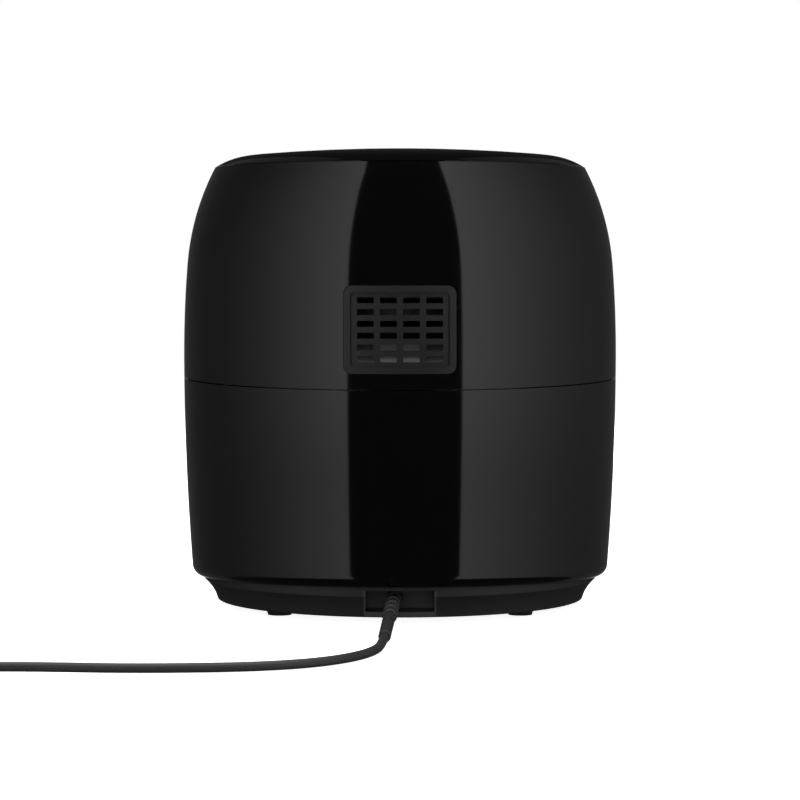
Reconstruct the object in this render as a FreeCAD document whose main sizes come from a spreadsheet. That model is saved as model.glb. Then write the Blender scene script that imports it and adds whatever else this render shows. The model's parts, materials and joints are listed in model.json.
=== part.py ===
import FreeCAD, Part
import math
import os
import Sketcher

# A barrel-shaped air fryer, seen from its own frame: +Z up, the drawer opens towards -Y, the mains lead
# leaves at +Y. Every piece is drawn about the barrel's axis and then moved by body_axis_y, so that the
# origin lies under the middle of the whole appliance, handle included.

doc = FreeCAD.newDocument("air_fryer")
sheet = doc.addObject("Spreadsheet::Sheet", "Sizes")


class Size:
    """A number together with the spreadsheet expression that it comes from."""

    def __init__(self, value, text):
        self.value = float(value)
        self.text = text

    def join(self, other, sign, result):
        return Size(result, "(" + self.text + " " + sign + " " + other.text + ")")

    def __add__(self, other):
        other = as_size(other)
        return self.join(other, "+", self.value + other.value)

    def __sub__(self, other):
        other = as_size(other)
        return self.join(other, "-", self.value - other.value)

    def __mul__(self, other):
        other = as_size(other)
        return self.join(other, "*", self.value * other.value)

    def __truediv__(self, other):
        other = as_size(other)
        return self.join(other, "/", self.value / other.value)

    def __radd__(self, other):
        return as_size(other) + self

    def __rsub__(self, other):
        return as_size(other) - self

    def __rmul__(self, other):
        return as_size(other) * self

    def __neg__(self):
        return as_size(0) - self


def as_size(number):
    """Wrap a plain number so that it can stand in an expression."""
    if isinstance(number, Size):
        return number
    return Size(number, "(" + repr(float(number)) + ")")


def size(alias, number):
    """Write one driving dimension on the sheet's next row and give it back as a Size."""
    row = len(sheet.getUsedCells()) // 2 + 1
    sheet.set("A" + str(row), "'" + alias)
    sheet.set("B" + str(row), str(number))
    sheet.setAlias("B" + str(row), alias)
    return Size(number, "Sizes." + alias)


def root(length):
    """Square root of a size."""
    return Size(math.sqrt(length.value), "sqrt(" + length.text + ")")


def sine(angle):
    """Sine of a size in degrees."""
    return Size(math.sin(math.radians(angle.value)), "sin(" + angle.text + " * 1deg)")


def cosine(angle):
    """Cosine of a size in degrees."""
    return Size(math.cos(math.radians(angle.value)), "cos(" + angle.text + " * 1deg)")


def tangent(angle):
    """Tangent of a size in degrees."""
    return Size(math.tan(math.radians(angle.value)), "tan(" + angle.text + " * 1deg)")


def bind(thing, path, length):
    """Tie one property of an object to the sheet."""
    thing.setExpression(path, as_size(length).text)


def place(thing, x, y, z):
    """Tie an object's position to the sheet."""
    bind(thing, "Placement.Base.x", x)
    bind(thing, "Placement.Base.y", y)
    bind(thing, "Placement.Base.z", z)
    return thing


def origin_plane(body, role):
    """One of the body's own reference planes, by its role."""
    return [item for item in body.Origin.OriginFeatures if item.Role == role][0]


def arc_between(start, end, radius):
    """Arc from start to end; a positive radius keeps the centre on the left of the way."""
    chord = end - start
    middle = (start + end) * 0.5
    left = FreeCAD.Vector(-chord.y, chord.x, 0).normalize()
    half = chord.Length / 2
    rise = abs(radius) - math.sqrt(max(radius * radius - half * half, 0))
    top = middle - left * rise if radius > 0 else middle + left * rise
    return Part.Arc(start, top, end)


def pin_point(sketch, geometry, end, corner):
    """Hold one point of a sketch at a corner given by two sizes."""
    for axis, kind, length in ((-2, "DistanceX", corner[0]), (-1, "DistanceY", corner[1])):
        length = as_size(length)
        if length.text == "(0.0)":
            sketch.addConstraint(Sketcher.Constraint("PointOnObject", geometry, end, axis))
            continue
        index = sketch.addConstraint(Sketcher.Constraint(kind, -1, 1, geometry, end, length.value))
        bind(sketch, "Constraints[" + str(index) + "]", length)


def draw_outline(sketch, corners):
    """Closed outline through corners (x, y) or (x, y, radius of the arc to the next corner)."""
    points = [FreeCAD.Vector(as_size(c[0]).value, as_size(c[1]).value, 0) for c in corners]
    ends = []
    for number, corner in enumerate(corners):
        start = points[number]
        finish = points[(number + 1) % len(points)]
        if len(corner) == 3:
            radius = as_size(corner[2])
            geometry = sketch.addGeometry(arc_between(start, finish, radius.value), False)
            first, last = (1, 2) if radius.value > 0 else (2, 1)
            index = sketch.addConstraint(Sketcher.Constraint("Radius", geometry, abs(radius.value)))
            sign = 1 if radius.value > 0 else -1
            bind(sketch, "Constraints[" + str(index) + "]", radius * sign)
        else:
            geometry = sketch.addGeometry(Part.LineSegment(start, finish), False)
            first, last = 1, 2
        ends.append((geometry, first, last))
    for number, corner in enumerate(corners):
        geometry, first, last = ends[number]
        after, after_first, after_last = ends[(number + 1) % len(ends)]
        sketch.addConstraint(Sketcher.Constraint("Coincident", geometry, last, after, after_first))
        pin_point(sketch, geometry, first, corner)


def draw_circle(sketch, x, y, radius):
    """Circle with its centre and radius tied to the sheet."""
    centre = FreeCAD.Vector(as_size(x).value, as_size(y).value, 0)
    circle = Part.Circle(centre, FreeCAD.Vector(0, 0, 1), as_size(radius).value)
    geometry = sketch.addGeometry(circle, False)
    pin_point(sketch, geometry, 3, (x, y))
    index = sketch.addConstraint(Sketcher.Constraint("Radius", geometry, as_size(radius).value))
    bind(sketch, "Constraints[" + str(index) + "]", radius)


def rounded_box(x, y, width, height, corner):
    """Corners of a rounded rectangle about (x, y)."""
    left = x - width / 2
    right = x + width / 2
    low = y - height / 2
    high = y + height / 2
    return [
        (left + corner, low), (right - corner, low, corner),
        (right, low + corner), (right, high - corner, corner),
        (right - corner, high), (left + corner, high, corner),
        (left, high - corner), (left, low + corner, corner),
    ]


def new_sketch(body, role, offset=0):
    """Empty sketch on one of the body's planes, moved along the plane's normal."""
    sketch = body.newObject("Sketcher::SketchObject", "sketch")
    sketch.AttachmentSupport = [(origin_plane(body, role), "")]
    sketch.MapMode = "FlatFace"
    bind(sketch, "AttachmentOffset.Base.z", offset)
    return sketch


def turned(name, corners):
    """Body of revolution about Z from an outline of (radius, height) corners."""
    body = doc.addObject("PartDesign::Body", name)
    sketch = new_sketch(body, "XZ_Plane")
    draw_outline(sketch, corners)
    feature = body.newObject("PartDesign::Revolution", "revolution")
    feature.Profile = sketch
    feature.ReferenceAxis = (sketch, ["V_Axis"])
    feature.Angle = 360
    body.Tip = feature
    return body


def prism(name, role, start, length, outlines, circles=()):
    """Body padded along a plane's normal: XY rises, XZ goes towards -Y and YZ towards +X."""
    body = doc.addObject("PartDesign::Body", name)
    sketch = new_sketch(body, role, start)
    for corners in outlines:
        draw_outline(sketch, corners)
    for circle in circles:
        draw_circle(sketch, *circle)
    feature = body.newObject("PartDesign::Pad", "pad")
    feature.Profile = sketch
    bind(feature, "Length", length)
    body.Tip = feature
    return body


def block(name, x, y, z, width, depth, height):
    """Box between x, y, z and x + width, y + depth, z + height."""
    solid = doc.addObject("Part::Box", name)
    bind(solid, "Length", width)
    bind(solid, "Width", depth)
    bind(solid, "Height", height)
    return place(solid, x, y, z)


TURN_TO = {"Z": (1, 0, 0, 0), "X": (0, 1, 0, 90), "Y": (1, 0, 0, -90), "-Y": (1, 0, 0, 90)}


def rod(name, radius, length, x, y, z, along="Z"):
    """Cylinder that starts at x, y, z and runs along an axis."""
    solid = doc.addObject("Part::Cylinder", name)
    bind(solid, "Radius", radius)
    bind(solid, "Height", length)
    *axis, angle = TURN_TO[along]
    solid.Placement.Rotation = FreeCAD.Rotation(FreeCAD.Vector(*axis), angle)
    return place(solid, x, y, z)


def joined(name, solids):
    """One solid from several that overlap or touch."""
    whole = doc.addObject("Part::MultiFuse", name)
    whole.Shapes = list(solids)
    return whole


def grouped(name, solids):
    """One node of several separate solids."""
    group = doc.addObject("Part::Compound", name)
    group.Links = list(solids)
    return group


def cut(name, base, *tools):
    """Base with every tool taken away."""
    for tool in tools:
        result = doc.addObject("Part::Cut", name)
        result.Base = base
        result.Tool = tool
        base = result
    return base


def common(name, base, tool):
    """What two solids share."""
    result = doc.addObject("Part::Common", name)
    result.Base = base
    result.Tool = tool
    return result


def rounded(name, base, radius, wanted):
    """Base with every edge that the test picks out rounded."""
    doc.recompute([base])
    result = doc.addObject("Part::Fillet", name)
    result.Base = base
    picked = [n + 1 for n, edge in enumerate(base.Shape.Edges) if wanted(edge)]
    result.Edges = [(n, radius.value, radius.value) for n in picked]
    return result


pieces = []


def piece(label, shape):
    """Name a finished piece, stand it on the barrel's axis and keep it for writing."""
    shape.Label = label
    bind(shape, "Placement.Base.y", body_axis_y)
    pieces.append(shape)
    return shape


# The barrel: three curves from the base to the lid, tangent to each other
body_radius = size("body_radius", 155)
belly_height = size("belly_height", 180)
side_curve = size("side_curve", 1980)
flank_curve = size("flank_curve", 819)
flank_height = size("flank_height", 244)
shoulder_curve = size("shoulder_curve", 180)
lid_seam_height = size("lid_seam_height", 313.5)
shell_wall = size("shell_wall", 2.6)
handle_reach = size("handle_reach", 50)
rim_proud = size("rim_proud", 1.3)
fit_gap = size("fit_gap", 0.3)
shaft_gap = size("shaft_gap", 0.05)

body_axis_y = (handle_reach - rim_proud) / 2
outside_room = size("outside_room", 40)
past_body = body_radius + outside_room
flank_slope = (flank_height - belly_height) / flank_curve
flank_level = root(1 - flank_slope * flank_slope)


def side_radius_at(height, inset=0):
    """Radius of the lower side at a height, inset from the outside."""
    curve = side_curve - inset
    drop = belly_height - height
    return body_radius - side_curve + root(curve * curve - drop * drop)


def barrel(name, inset, low, high):
    """The barrel's full solid between two heights, drawn in by an inset."""
    side_low = side_radius_at(low, inset)
    flank = flank_curve - inset
    flank_out = body_radius - flank_curve + flank * flank_level
    flank_up = belly_height + flank * flank_slope
    shoulder = shoulder_curve - inset
    centre_out = body_radius - flank_curve + (flank_curve - shoulder_curve) * flank_level
    centre_up = belly_height + (flank_curve - shoulder_curve) * flank_slope
    climb = high - centre_up
    top_out = centre_out + root(shoulder * shoulder - climb * climb)
    return turned(name, [
        (0, low),
        (side_low, low, side_curve - inset),
        (body_radius - inset, belly_height, flank),
        (flank_out, flank_up, shoulder),
        (top_out, high),
        (0, high),
    ])


def slab(name, low, low_tilt, high, high_tilt):
    """Everything between two planes that climb towards the back by their tilts."""
    low_rise = past_body * tangent(low_tilt)
    high_rise = past_body * tangent(high_tilt)
    return prism(name, "YZ_Plane", -past_body, past_body * 2, [[
        (-past_body, low - low_rise),
        (past_body, low + low_rise),
        (past_body, high + high_rise),
        (-past_body, high - high_rise),
    ]])


# Lower shell: its rim seats on the base along a plane that climbs to the back, its top edge falls to the back
foot_height = size("foot_height", 5)
junction_height = size("junction_height", 21)
junction_tilt = size("junction_tilt", 2.2)
seam_height = size("seam_height", 164.5)
seam_fall = size("seam_fall", 1.66)
seam_gap = size("seam_gap", 0.8)
bottom_round = size("bottom_round", 9)
rim_depth = size("rim_depth", 21)
rim_bore = body_radius - rim_depth
seam_tilt = -seam_fall

barrel_low = foot_height
barrel_outside = barrel("barrel_outside", as_size(0), barrel_low, lid_seam_height)
barrel_inside = barrel("barrel_inside", shell_wall, barrel_low, lid_seam_height - shell_wall)
lower_slab = slab("lower_slab", junction_height, junction_tilt, seam_height - seam_gap / 2, seam_tilt)
lower_blank = common("lower_blank", barrel_outside, lower_slab)


def is_bottom_edge(edge):
    """True for the long edge round the underside of the lower shell."""
    return edge.BoundBox.ZMax < seam_height.value / 2 and edge.Length > body_radius.value


lower_round = rounded("lower_round", lower_blank, bottom_round, is_bottom_edge)
hollow_low = junction_height + shell_wall
hollow_slab = slab("hollow_slab", hollow_low, junction_tilt, seam_height + seam_gap, seam_tilt)
lower_hollow = common("lower_hollow", barrel_inside, hollow_slab)
rim_hole = rod("rim_hole", rim_bore, seam_height, 0, 0, 0)
lower_shell = cut("lower_shell", lower_round, lower_hollow, rim_hole)

# The drawer front is cut out of the lower shell between two upright planes
front_half_width = size("front_half_width", 118)
front_depth = size("front_depth", 85)
front_gap = size("front_gap", 0.7)


def front_prism(name, half_width, back, low):
    """Everything in front of a plane, above the base's tilted rim."""
    low_rise = past_body * tangent(junction_tilt)
    back_rise = back * tangent(junction_tilt)
    return prism(name, "YZ_Plane", -half_width, half_width * 2, [[
        (-past_body, low - low_rise),
        (-back, low - back_rise),
        (-back, lid_seam_height),
        (-past_body, lid_seam_height),
    ]])


front_opening = front_prism("front_opening", front_half_width + front_gap, front_depth - front_gap, as_size(0))
piece("lower_housing", cut("lower_housing_cut", lower_shell, front_opening))

# Base pan: a cavetto dish that carries everything, with a recess for the lead at the back
dish_foot_inset = size("dish_foot_inset", 23.5)
dish_foot_radius = body_radius - dish_foot_inset
dish_top_inset = size("dish_top_inset", 14.5)
dish_top_radius = body_radius - dish_top_inset
dish_curve = size("dish_curve", 30)
dish_edge = size("dish_edge", 1.5)
dish_straight = size("dish_straight", 20)
pan_floor = size("pan_floor", 3)
recess_width = size("recess_width", 47)
recess_low = size("recess_low", 9)
recess_high = size("recess_high", 24.2)
recess_inset = size("recess_inset", 50)
recess_back = body_radius - recess_inset
recess_wall = size("recess_wall", 2)
floor_top = foot_height + pan_floor
dish_setback = size("dish_setback", 10)
dish_inside = rim_bore - dish_setback

dish_solid = turned("dish_solid", [
    (0, foot_height),
    (dish_foot_radius - dish_edge, foot_height, dish_edge),
    (dish_foot_radius, foot_height + dish_edge, -dish_curve),
    (dish_top_radius, dish_straight),
    (dish_top_radius, dish_straight * 2),
    (0, dish_straight * 2),
])
base_slab = slab("base_slab", as_size(0), as_size(0), junction_height, junction_tilt)
base_blank = common("base_blank", dish_solid, base_slab)
dish_hollow = turned("dish_hollow", [
    (0, floor_top),
    (dish_inside, floor_top),
    (rim_bore, dish_straight),
    (rim_bore, dish_straight * 2),
    (0, dish_straight * 2),
])
tray_half = recess_width / 2 + recess_wall
tray = block("tray", -tray_half, recess_back - recess_wall, 0, tray_half * 2, past_body, dish_straight * 2)
base_hollow = cut("base_hollow", dish_hollow, tray)
recess = block(
    "recess", -recess_width / 2, recess_back, recess_low, recess_width, past_body, recess_high - recess_low
)

# Rail screws come up through the base pan's floor into the drawer rails
rail_spread = size("rail_spread", 70)
rail_width = size("rail_width", 14)
rail_half_length = size("rail_half_length", 90)
screw_spread = size("screw_spread", 50)
screw_radius = size("screw_radius", 2)
screw_head_radius = size("screw_head_radius", 4)
screw_head_height = size("screw_head_height", 2.4)
screw_bite = size("screw_bite", 10)
screw_end_gap = size("screw_end_gap", 1)
SIDES = (-1, 1)
FOUR = [(across, along) for across in SIDES for along in SIDES]


def rail_screw_rods(name, radius, head_radius, low, head_height, high):
    """Four upright screw shapes, each a head and a shank."""
    shapes = []
    for across, along in FOUR:
        head = rod(name, head_radius, head_height, rail_spread * across, screw_spread * along, low)
        shank = rod(name, radius, high - low, rail_spread * across, screw_spread * along, low)
        shapes.append(joined(name, [head, shank]))
    return grouped(name, shapes)


screw_low = foot_height + fit_gap
screw_holes = rail_screw_rods(
    "screw_holes", screw_radius + fit_gap, screw_head_radius + fit_gap, as_size(0),
    screw_low + screw_head_height, floor_top + screw_bite + fit_gap,
)
piece("rail_screws", rail_screw_rods(
    "rail_screw", screw_radius, screw_head_radius, screw_low, screw_head_height, floor_top + screw_bite
))
piece("base_pan", cut("base_pan_cut", base_blank, base_hollow, recess, screw_holes))

# Rubber feet: four short cones under the base pan
foot_radius = size("foot_radius", 9.6)
foot_taper = size("foot_taper", 1.3)
foot_across = size("foot_across", 84)
foot_along = size("foot_along", 68)
feet = []
for across, along in FOUR:
    foot = doc.addObject("Part::Cone", "foot")
    bind(foot, "Radius1", foot_radius - foot_taper)
    bind(foot, "Radius2", foot_radius)
    bind(foot, "Height", foot_height)
    feet.append(place(foot, foot_across * across, foot_along * along, 0))
piece("rubber_feet", grouped("feet", feet))

# Upper housing: from the seam to the lid, with a deck for the lid and a shelf for the heat shield
lid_bore_inset = size("lid_bore_inset", 40)
lid_bore = body_radius - lid_bore_inset
shelf_height = size("shelf_height", 217)
shelf_thickness = size("shelf_thickness", 4)
shelf_reach = size("shelf_reach", 12)
shelf_bore = body_radius - shelf_reach
grille_width = size("grille_width", 75.5)
grille_height = size("grille_height", 59)
grille_rise = size("grille_rise", 36)
grille_middle = seam_height + grille_rise
grille_corner = size("grille_corner", 6)
panel_width = size("panel_width", 84)
panel_height = size("panel_height", 92)
panel_corner = size("panel_corner", 18)
panel_thickness = size("panel_thickness", 11)
panel_rise = size("panel_rise", 63.5)
panel_middle = seam_height + panel_rise
panel_set = size("panel_set", 2.2)
panel_front = body_radius - panel_set
panel_tilt = size("panel_tilt", 6)
unit_depth = size("unit_depth", 20)
notch_half = size("notch_half", 50)


def on_panel(thing):
    """Stand a shape drawn flat in front of y = 0 on the tilted control panel."""
    thing.Placement.Rotation = FreeCAD.Rotation(FreeCAD.Vector(1, 0, 0), -panel_tilt.value)
    bind(thing, "Placement.Rotation.Angle", panel_tilt * -1)
    return place(thing, 0, -panel_front, panel_middle)


upper_slab = slab("upper_slab", seam_height + seam_gap / 2, seam_tilt, lid_seam_height * 2, as_size(0))
upper_blank = common("upper_blank", cut("barrel_shell", barrel_outside, barrel_inside), upper_slab)
shelf = turned("shelf", [
    (shelf_bore, shelf_height),
    (body_radius - shell_wall * 0.8, shelf_height),
    (body_radius - shell_wall * 0.8, shelf_height + shelf_thickness),
    (shelf_bore, shelf_height + shelf_thickness),
])
front_notch = block(
    "front_notch", -notch_half, -past_body, 0, notch_half * 2, past_body - rim_bore, lid_seam_height
)
shelf_cut = cut("shelf_cut", shelf, front_notch)
lid_hole = rod("lid_hole", lid_bore, lid_seam_height, 0, 0, seam_height)
grille_hole = prism("grille_hole", "XZ_Plane", -past_body, past_body - rim_bore, [rounded_box(
    as_size(0), grille_middle, grille_width + fit_gap * 2, grille_height + fit_gap * 2, grille_corner
)])
panel_hole = on_panel(prism("panel_hole", "XZ_Plane", -panel_thickness * 2, panel_thickness * 4, [rounded_box(
    as_size(0), as_size(0), panel_width + fit_gap * 2, panel_height + fit_gap * 2, panel_corner
)]))
upper_joined = joined("upper_joined", [cut("upper_holed", upper_blank, lid_hole), shelf_cut])
piece("upper_housing", cut("upper_housing_cut", upper_joined, grille_hole, panel_hole))

# Top cover: a shallow dome whose spigot drops into the deck
lid_rise = size("lid_rise", 13.2)
lid_height = lid_seam_height + lid_rise
dome_curve = size("dome_curve", 1215)
dome_edge_inset = size("dome_edge_inset", 47)
dome_edge = body_radius - dome_edge_inset
lid_edge_curve = size("lid_edge_curve", 52)
lid_inset = size("lid_inset", 23.4)
lid_radius = body_radius - lid_inset
lid_gap = size("lid_gap", 0.6)
spigot_depth = size("spigot_depth", 6)
dome_fall = dome_curve - root(dome_curve * dome_curve - dome_edge * dome_edge)
lid_low = lid_seam_height + lid_gap
spigot = lid_bore - fit_gap
dome_inner = dome_curve - shell_wall
inner_edge = spigot - shell_wall * 2
inner_fall = dome_inner - root(dome_inner * dome_inner - inner_edge * inner_edge)
piece("top_cover", turned("top_cover_body", [
    (0, lid_height - shell_wall, -dome_inner),
    (inner_edge, lid_height - shell_wall - inner_fall),
    (spigot - shell_wall, lid_low),
    (spigot - shell_wall, lid_low - spigot_depth),
    (spigot, lid_low - spigot_depth),
    (spigot, lid_low),
    (lid_radius, lid_low, lid_edge_curve),
    (dome_edge, lid_height - dome_fall, dome_curve),
    (0, lid_height),
]))

# Vent grille: a curved plate with a proud rim and four columns of slots
rim_width = size("rim_width", 4.5)
grille_depth = size("grille_depth", 3.2)
slot_width = size("slot_width", 11.2)
slot_height = size("slot_height", 4)
slot_pitch_x = size("slot_pitch_x", 15.4)
slot_pitch_z = size("slot_pitch_z", 7.9)
slot_columns = 4
slot_rows = 6
grille_low = grille_middle - grille_height
grille_high = grille_middle + grille_height
grille_outline = prism("grille_outline", "XZ_Plane", -past_body, past_body - rim_bore, [rounded_box(
    as_size(0), grille_middle, grille_width, grille_height, grille_corner
)])
grille_skin = cut(
    "grille_skin",
    barrel("grille_outside", -rim_proud, grille_low, grille_high),
    barrel("grille_inside", grille_depth, grille_low - 1, grille_high + 1),
)
grille_blank = common("grille_blank", grille_outline, grille_skin)
field_outline = prism("field_outline", "XZ_Plane", -past_body, past_body - rim_bore, [rounded_box(
    as_size(0), grille_middle, grille_width - rim_width * 2, grille_height - rim_width * 2, grille_corner / 2
)])
grille_field = cut("grille_field", field_outline, barrel("field_floor", as_size(0), grille_low, grille_high))
slots = []
for column in range(slot_columns):
    for row in range(slot_rows):
        slot_x = slot_pitch_x * (column - (slot_columns - 1) / 2) - slot_width / 2
        slot_z = grille_middle + slot_pitch_z * (row - (slot_rows - 1) / 2) - slot_height / 2
        slots.append(block("slot", slot_x, rim_bore, slot_z, slot_width, past_body - rim_bore, slot_height))
grille_cut = cut("grille_cut", grille_blank, grille_field, grouped("slots", slots))

piece("vent_grille", grille_cut)

# Exhaust duct: a plain channel from the chamber to the grille, with a floor that climbs inwards
duct_inner_end = size("duct_inner_end", 124)
duct_wall = size("duct_wall", 2)
duct_half = grille_width / 2 - rim_width
duct_low = grille_middle - grille_height / 2 + rim_width
duct_tall = grille_height - rim_width * 2
duct_outer = block("duct_outer", -duct_half, duct_inner_end, duct_low, duct_half * 2, past_body, duct_tall)
duct_bore = block(
    "duct_bore", duct_wall - duct_half, 0, duct_low + duct_wall,
    (duct_half - duct_wall) * 2, past_body * 2, duct_tall - duct_wall * 2,
)
duct_ramp = prism("duct_ramp", "YZ_Plane", -duct_half, duct_half * 2, [[
    (duct_inner_end, duct_low),
    (body_radius, duct_low),
    (duct_inner_end, duct_low + duct_tall / 2),
]])
duct_joined = joined("duct_joined", [cut("duct_tube", duct_outer, duct_bore), duct_ramp])
duct_reach = barrel("duct_reach", grille_depth + fit_gap, grille_low, grille_high)
piece("exhaust_duct", common("exhaust_duct_cut", duct_joined, duct_reach))

# Control panel with its two dials, the switches behind them and two lamps
dial_spread = size("dial_spread", 22)
dial_radius = size("dial_radius", 17)
dial_skirt = size("dial_skirt", 19)
dial_height = size("dial_height", 13)
dial_shaft = size("dial_shaft", 3)
dial_gap = size("dial_gap", 0.5)
grip_width = size("grip_width", 7)
unit_width = size("unit_width", 46)
unit_height = size("unit_height", 40)
lamp_radius = size("lamp_radius", 2.4)
lamp_across = size("lamp_across", 32)
lamp_proud = size("lamp_proud", 0.8)
skirt_height = dial_height / 4

lamps_at = [lamp_across * across for across in SIDES]
panel_holes = [(0, dial_spread * up, dial_shaft + shaft_gap) for up in SIDES]
panel_holes += [(x, 0, lamp_radius + fit_gap) for x in lamps_at]
piece("control_panel", grouped("panel_group", [on_panel(prism(
    "panel_plate", "XZ_Plane", -panel_thickness, panel_thickness,
    [rounded_box(as_size(0), as_size(0), panel_width, panel_height, panel_corner)], panel_holes,
))]))


def dial(name, label, up):
    """Knob with a skirt, a grip bar and the shaft that turns the switch behind the panel."""
    at = dial_spread * up
    skirt = prism(name, "XZ_Plane", dial_gap, skirt_height, [], [(0, at, dial_skirt)])
    drum = prism(name, "XZ_Plane", dial_gap, dial_height - grip_width / 2, [], [(0, at, dial_radius)])
    grip = prism(name, "XZ_Plane", dial_gap, dial_height, [rounded_box(
        as_size(0), at, grip_width, dial_radius * 2 - 2, grip_width / 3
    )])
    shaft_back = panel_thickness + unit_depth / 2
    shaft = prism(name, "XZ_Plane", -shaft_back, shaft_back + dial_gap * 2, [], [(0, at, dial_shaft)])
    return piece(label, joined(name, [on_panel(part) for part in (skirt, drum, grip, shaft)]))


def switch_unit(name, label, up):
    """Closed switch box behind the panel with a blind hole for the dial's shaft."""
    at = dial_spread * up
    case = prism(name, "XZ_Plane", -panel_thickness - unit_depth, unit_depth, [rounded_box(
        as_size(0), at, unit_width, unit_height, grip_width / 2
    )])
    bore = prism(name, "XZ_Plane", -panel_thickness - unit_depth * 0.6, unit_depth, [], [
        (0, at, dial_shaft + shaft_gap)
    ])
    return piece(label, cut(name, on_panel(case), on_panel(bore)))


dial("temperature_dial", "temperature_knob", 1)
dial("timer_dial", "timer_knob", -1)
switch_unit("thermostat_box", "thermostat_unit", 1)
switch_unit("timer_box", "timer_unit", -1)
piece("indicator_lamps", grouped("lamps", [on_panel(prism(
    "lamp", "XZ_Plane", -panel_thickness, panel_thickness + lamp_proud, [], [(x, 0, lamp_radius)]
)) for x in lamps_at]))

# Cooking chamber: a steel pot upside down over the drawer, hung from the heat shield
liner_inset = size("liner_inset", 35)
liner_radius = body_radius - liner_inset
liner_wall = size("liner_wall", 1)
liner_low = size("liner_low", 156)
liner_high = size("liner_high", 213)
liner_lip = size("liner_lip", 12)
liner_flange = liner_radius + liner_lip
shaft_radius = size("shaft_radius", 3)
shaft_hole = size("shaft_hole", 8)
shield_wall = size("shield_wall", 1)
shield_inset = size("shield_inset", 9)
shield_radius = body_radius - shield_inset
spacer_radius = size("spacer_radius", 4)
spacer_spread = size("spacer_spread", 70)
tube_radius = size("tube_radius", 3.3)
tube_drop = size("tube_drop", 29)
tube_height = liner_high - tube_drop
spiral_start = size("spiral_start", 60)
spiral_step = size("spiral_step", 8)
post_radius = size("post_radius", 4.5)
spiral_halves = 5
liner_top = liner_high + liner_wall
shield_low = shelf_height + shelf_thickness

liner_pot = turned("liner_pot", [
    (liner_radius, liner_low),
    (liner_flange, liner_low),
    (liner_flange, liner_low + liner_wall),
    (liner_radius + liner_wall, liner_low + liner_wall),
    (liner_radius + liner_wall, liner_top),
    (shaft_hole, liner_top),
    (shaft_hole, liner_high),
    (liner_radius, liner_high),
])
liner_vent = block(
    "liner_vent", duct_wall - duct_half, spacer_spread, duct_low + duct_wall,
    (duct_half - duct_wall) * 2, past_body, liner_high - duct_low - duct_wall * 3,
)
spiral_end = spiral_start + spiral_step * (spiral_halves - 1)
posts_at = (-spiral_start, spiral_end)
post_holes = [rod("post_hole", post_radius + fit_gap, past_body, x, 0, tube_height) for x in posts_at]
piece("chamber_liner", cut("liner_cut", liner_pot, liner_vent, *post_holes))
post_low = tube_height + tube_radius
piece("heater_terminals", grouped("posts", [
    rod("post", post_radius, shield_low - fit_gap - post_low, x, 0, post_low) for x in posts_at
]))
piece("liner_spacers", grouped("spacers", [
    rod("spacer", spacer_radius, shield_low - liner_top, spacer_spread * a, spacer_spread * b, liner_top)
    for a, b in FOUR
]))

# Heat shield: a disc on the shelf with room for the panel's switches and the duct
rear_notch = block(
    "rear_notch", -duct_half - fit_gap, duct_inner_end - fit_gap, 0, (duct_half + fit_gap) * 2, past_body,
    lid_seam_height,
)
switch_room = block(
    "switch_room", -notch_half, -past_body, 0, notch_half * 2,
    past_body - panel_front + panel_thickness + unit_depth + panel_height * sine(panel_tilt), lid_seam_height,
)
shield_disc = turned("shield_disc", [
    (shaft_hole, shield_low), (shield_radius, shield_low),
    (shield_radius, shield_low + shield_wall), (shaft_hole, shield_low + shield_wall),
])
shield_top = shield_low + shield_wall
piece("heat_shield", cut("shield_cut", shield_disc, rear_notch, switch_room))

# Heating element: one steel tube wound as a flat spiral of half circles
arcs = []
for half in range(spiral_halves):
    bend = spiral_start.value + spiral_step.value * half
    centre = 0 if half % 2 == 0 else -spiral_step.value
    side = -1 if half % 2 == 0 else 1
    ends = [FreeCAD.Vector(centre + side * bend * way, 0, tube_height.value) for way in (1, -1)]
    crest = FreeCAD.Vector(centre, side * bend, tube_height.value)
    arcs.append(Part.Arc(ends[0], crest, ends[1]).toShape())
path = Part.Wire(arcs)
ring = Part.Wire(Part.makeCircle(
    tube_radius.value, FreeCAD.Vector(-spiral_start.value, 0, tube_height.value), FreeCAD.Vector(0, 1, 0)
))
spiral = doc.addObject("Part::Feature", "spiral")
spiral.Shape = path.makePipeShell([ring], True, False)
piece("heating_element", spiral)

# Heater clips: strips over the spiral's turns, each with a leg up to the pot's ceiling
clip_width = size("clip_width", 8)
clip_wall = size("clip_wall", 1.6)
clip_angles = (60, 180 + 60, 300)
clip_low = tube_height + tube_radius + fit_gap
clips = []
for angle in clip_angles:
    clip = prism("clip", "XZ_Plane", -clip_width / 2, clip_width, [[
        (spiral_start - tube_radius * 2, clip_low),
        (spiral_end + tube_radius * 2, clip_low),
        (spiral_end + tube_radius * 2, liner_high - fit_gap),
        (spiral_end + tube_radius * 2 - clip_wall, liner_high - fit_gap),
        (spiral_end + tube_radius * 2 - clip_wall, clip_low + clip_wall),
        (spiral_start - tube_radius * 2, clip_low + clip_wall),
    ]])
    clip.Placement.Rotation = FreeCAD.Rotation(FreeCAD.Vector(0, 0, 1), angle)
    clips.append(clip)
piece("heater_clips", grouped("clip_group", clips))

# Fans, shaft and motor on the barrel's axis
fan_radius = size("fan_radius", 52)
hub_radius = size("hub_radius", 10)
fan_low = size("fan_low", 196)
fan_height = size("fan_height", 10)
blade_wall = size("blade_wall", 1.4)
cooler_radius = size("cooler_radius", 46)
cooler_low = size("cooler_low", 226)
nut_height = size("nut_height", 5)
nut_radius = size("nut_radius", 6)
bracket_low = size("bracket_low", 241)
bracket_wall = size("bracket_wall", 2)
bracket_half = size("bracket_half", 70)
bracket_width = size("bracket_width", 40)
motor_radius = size("motor_radius", 30)
motor_height = size("motor_height", 40)
blade_count = 10
bore = shaft_radius + shaft_gap


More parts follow.
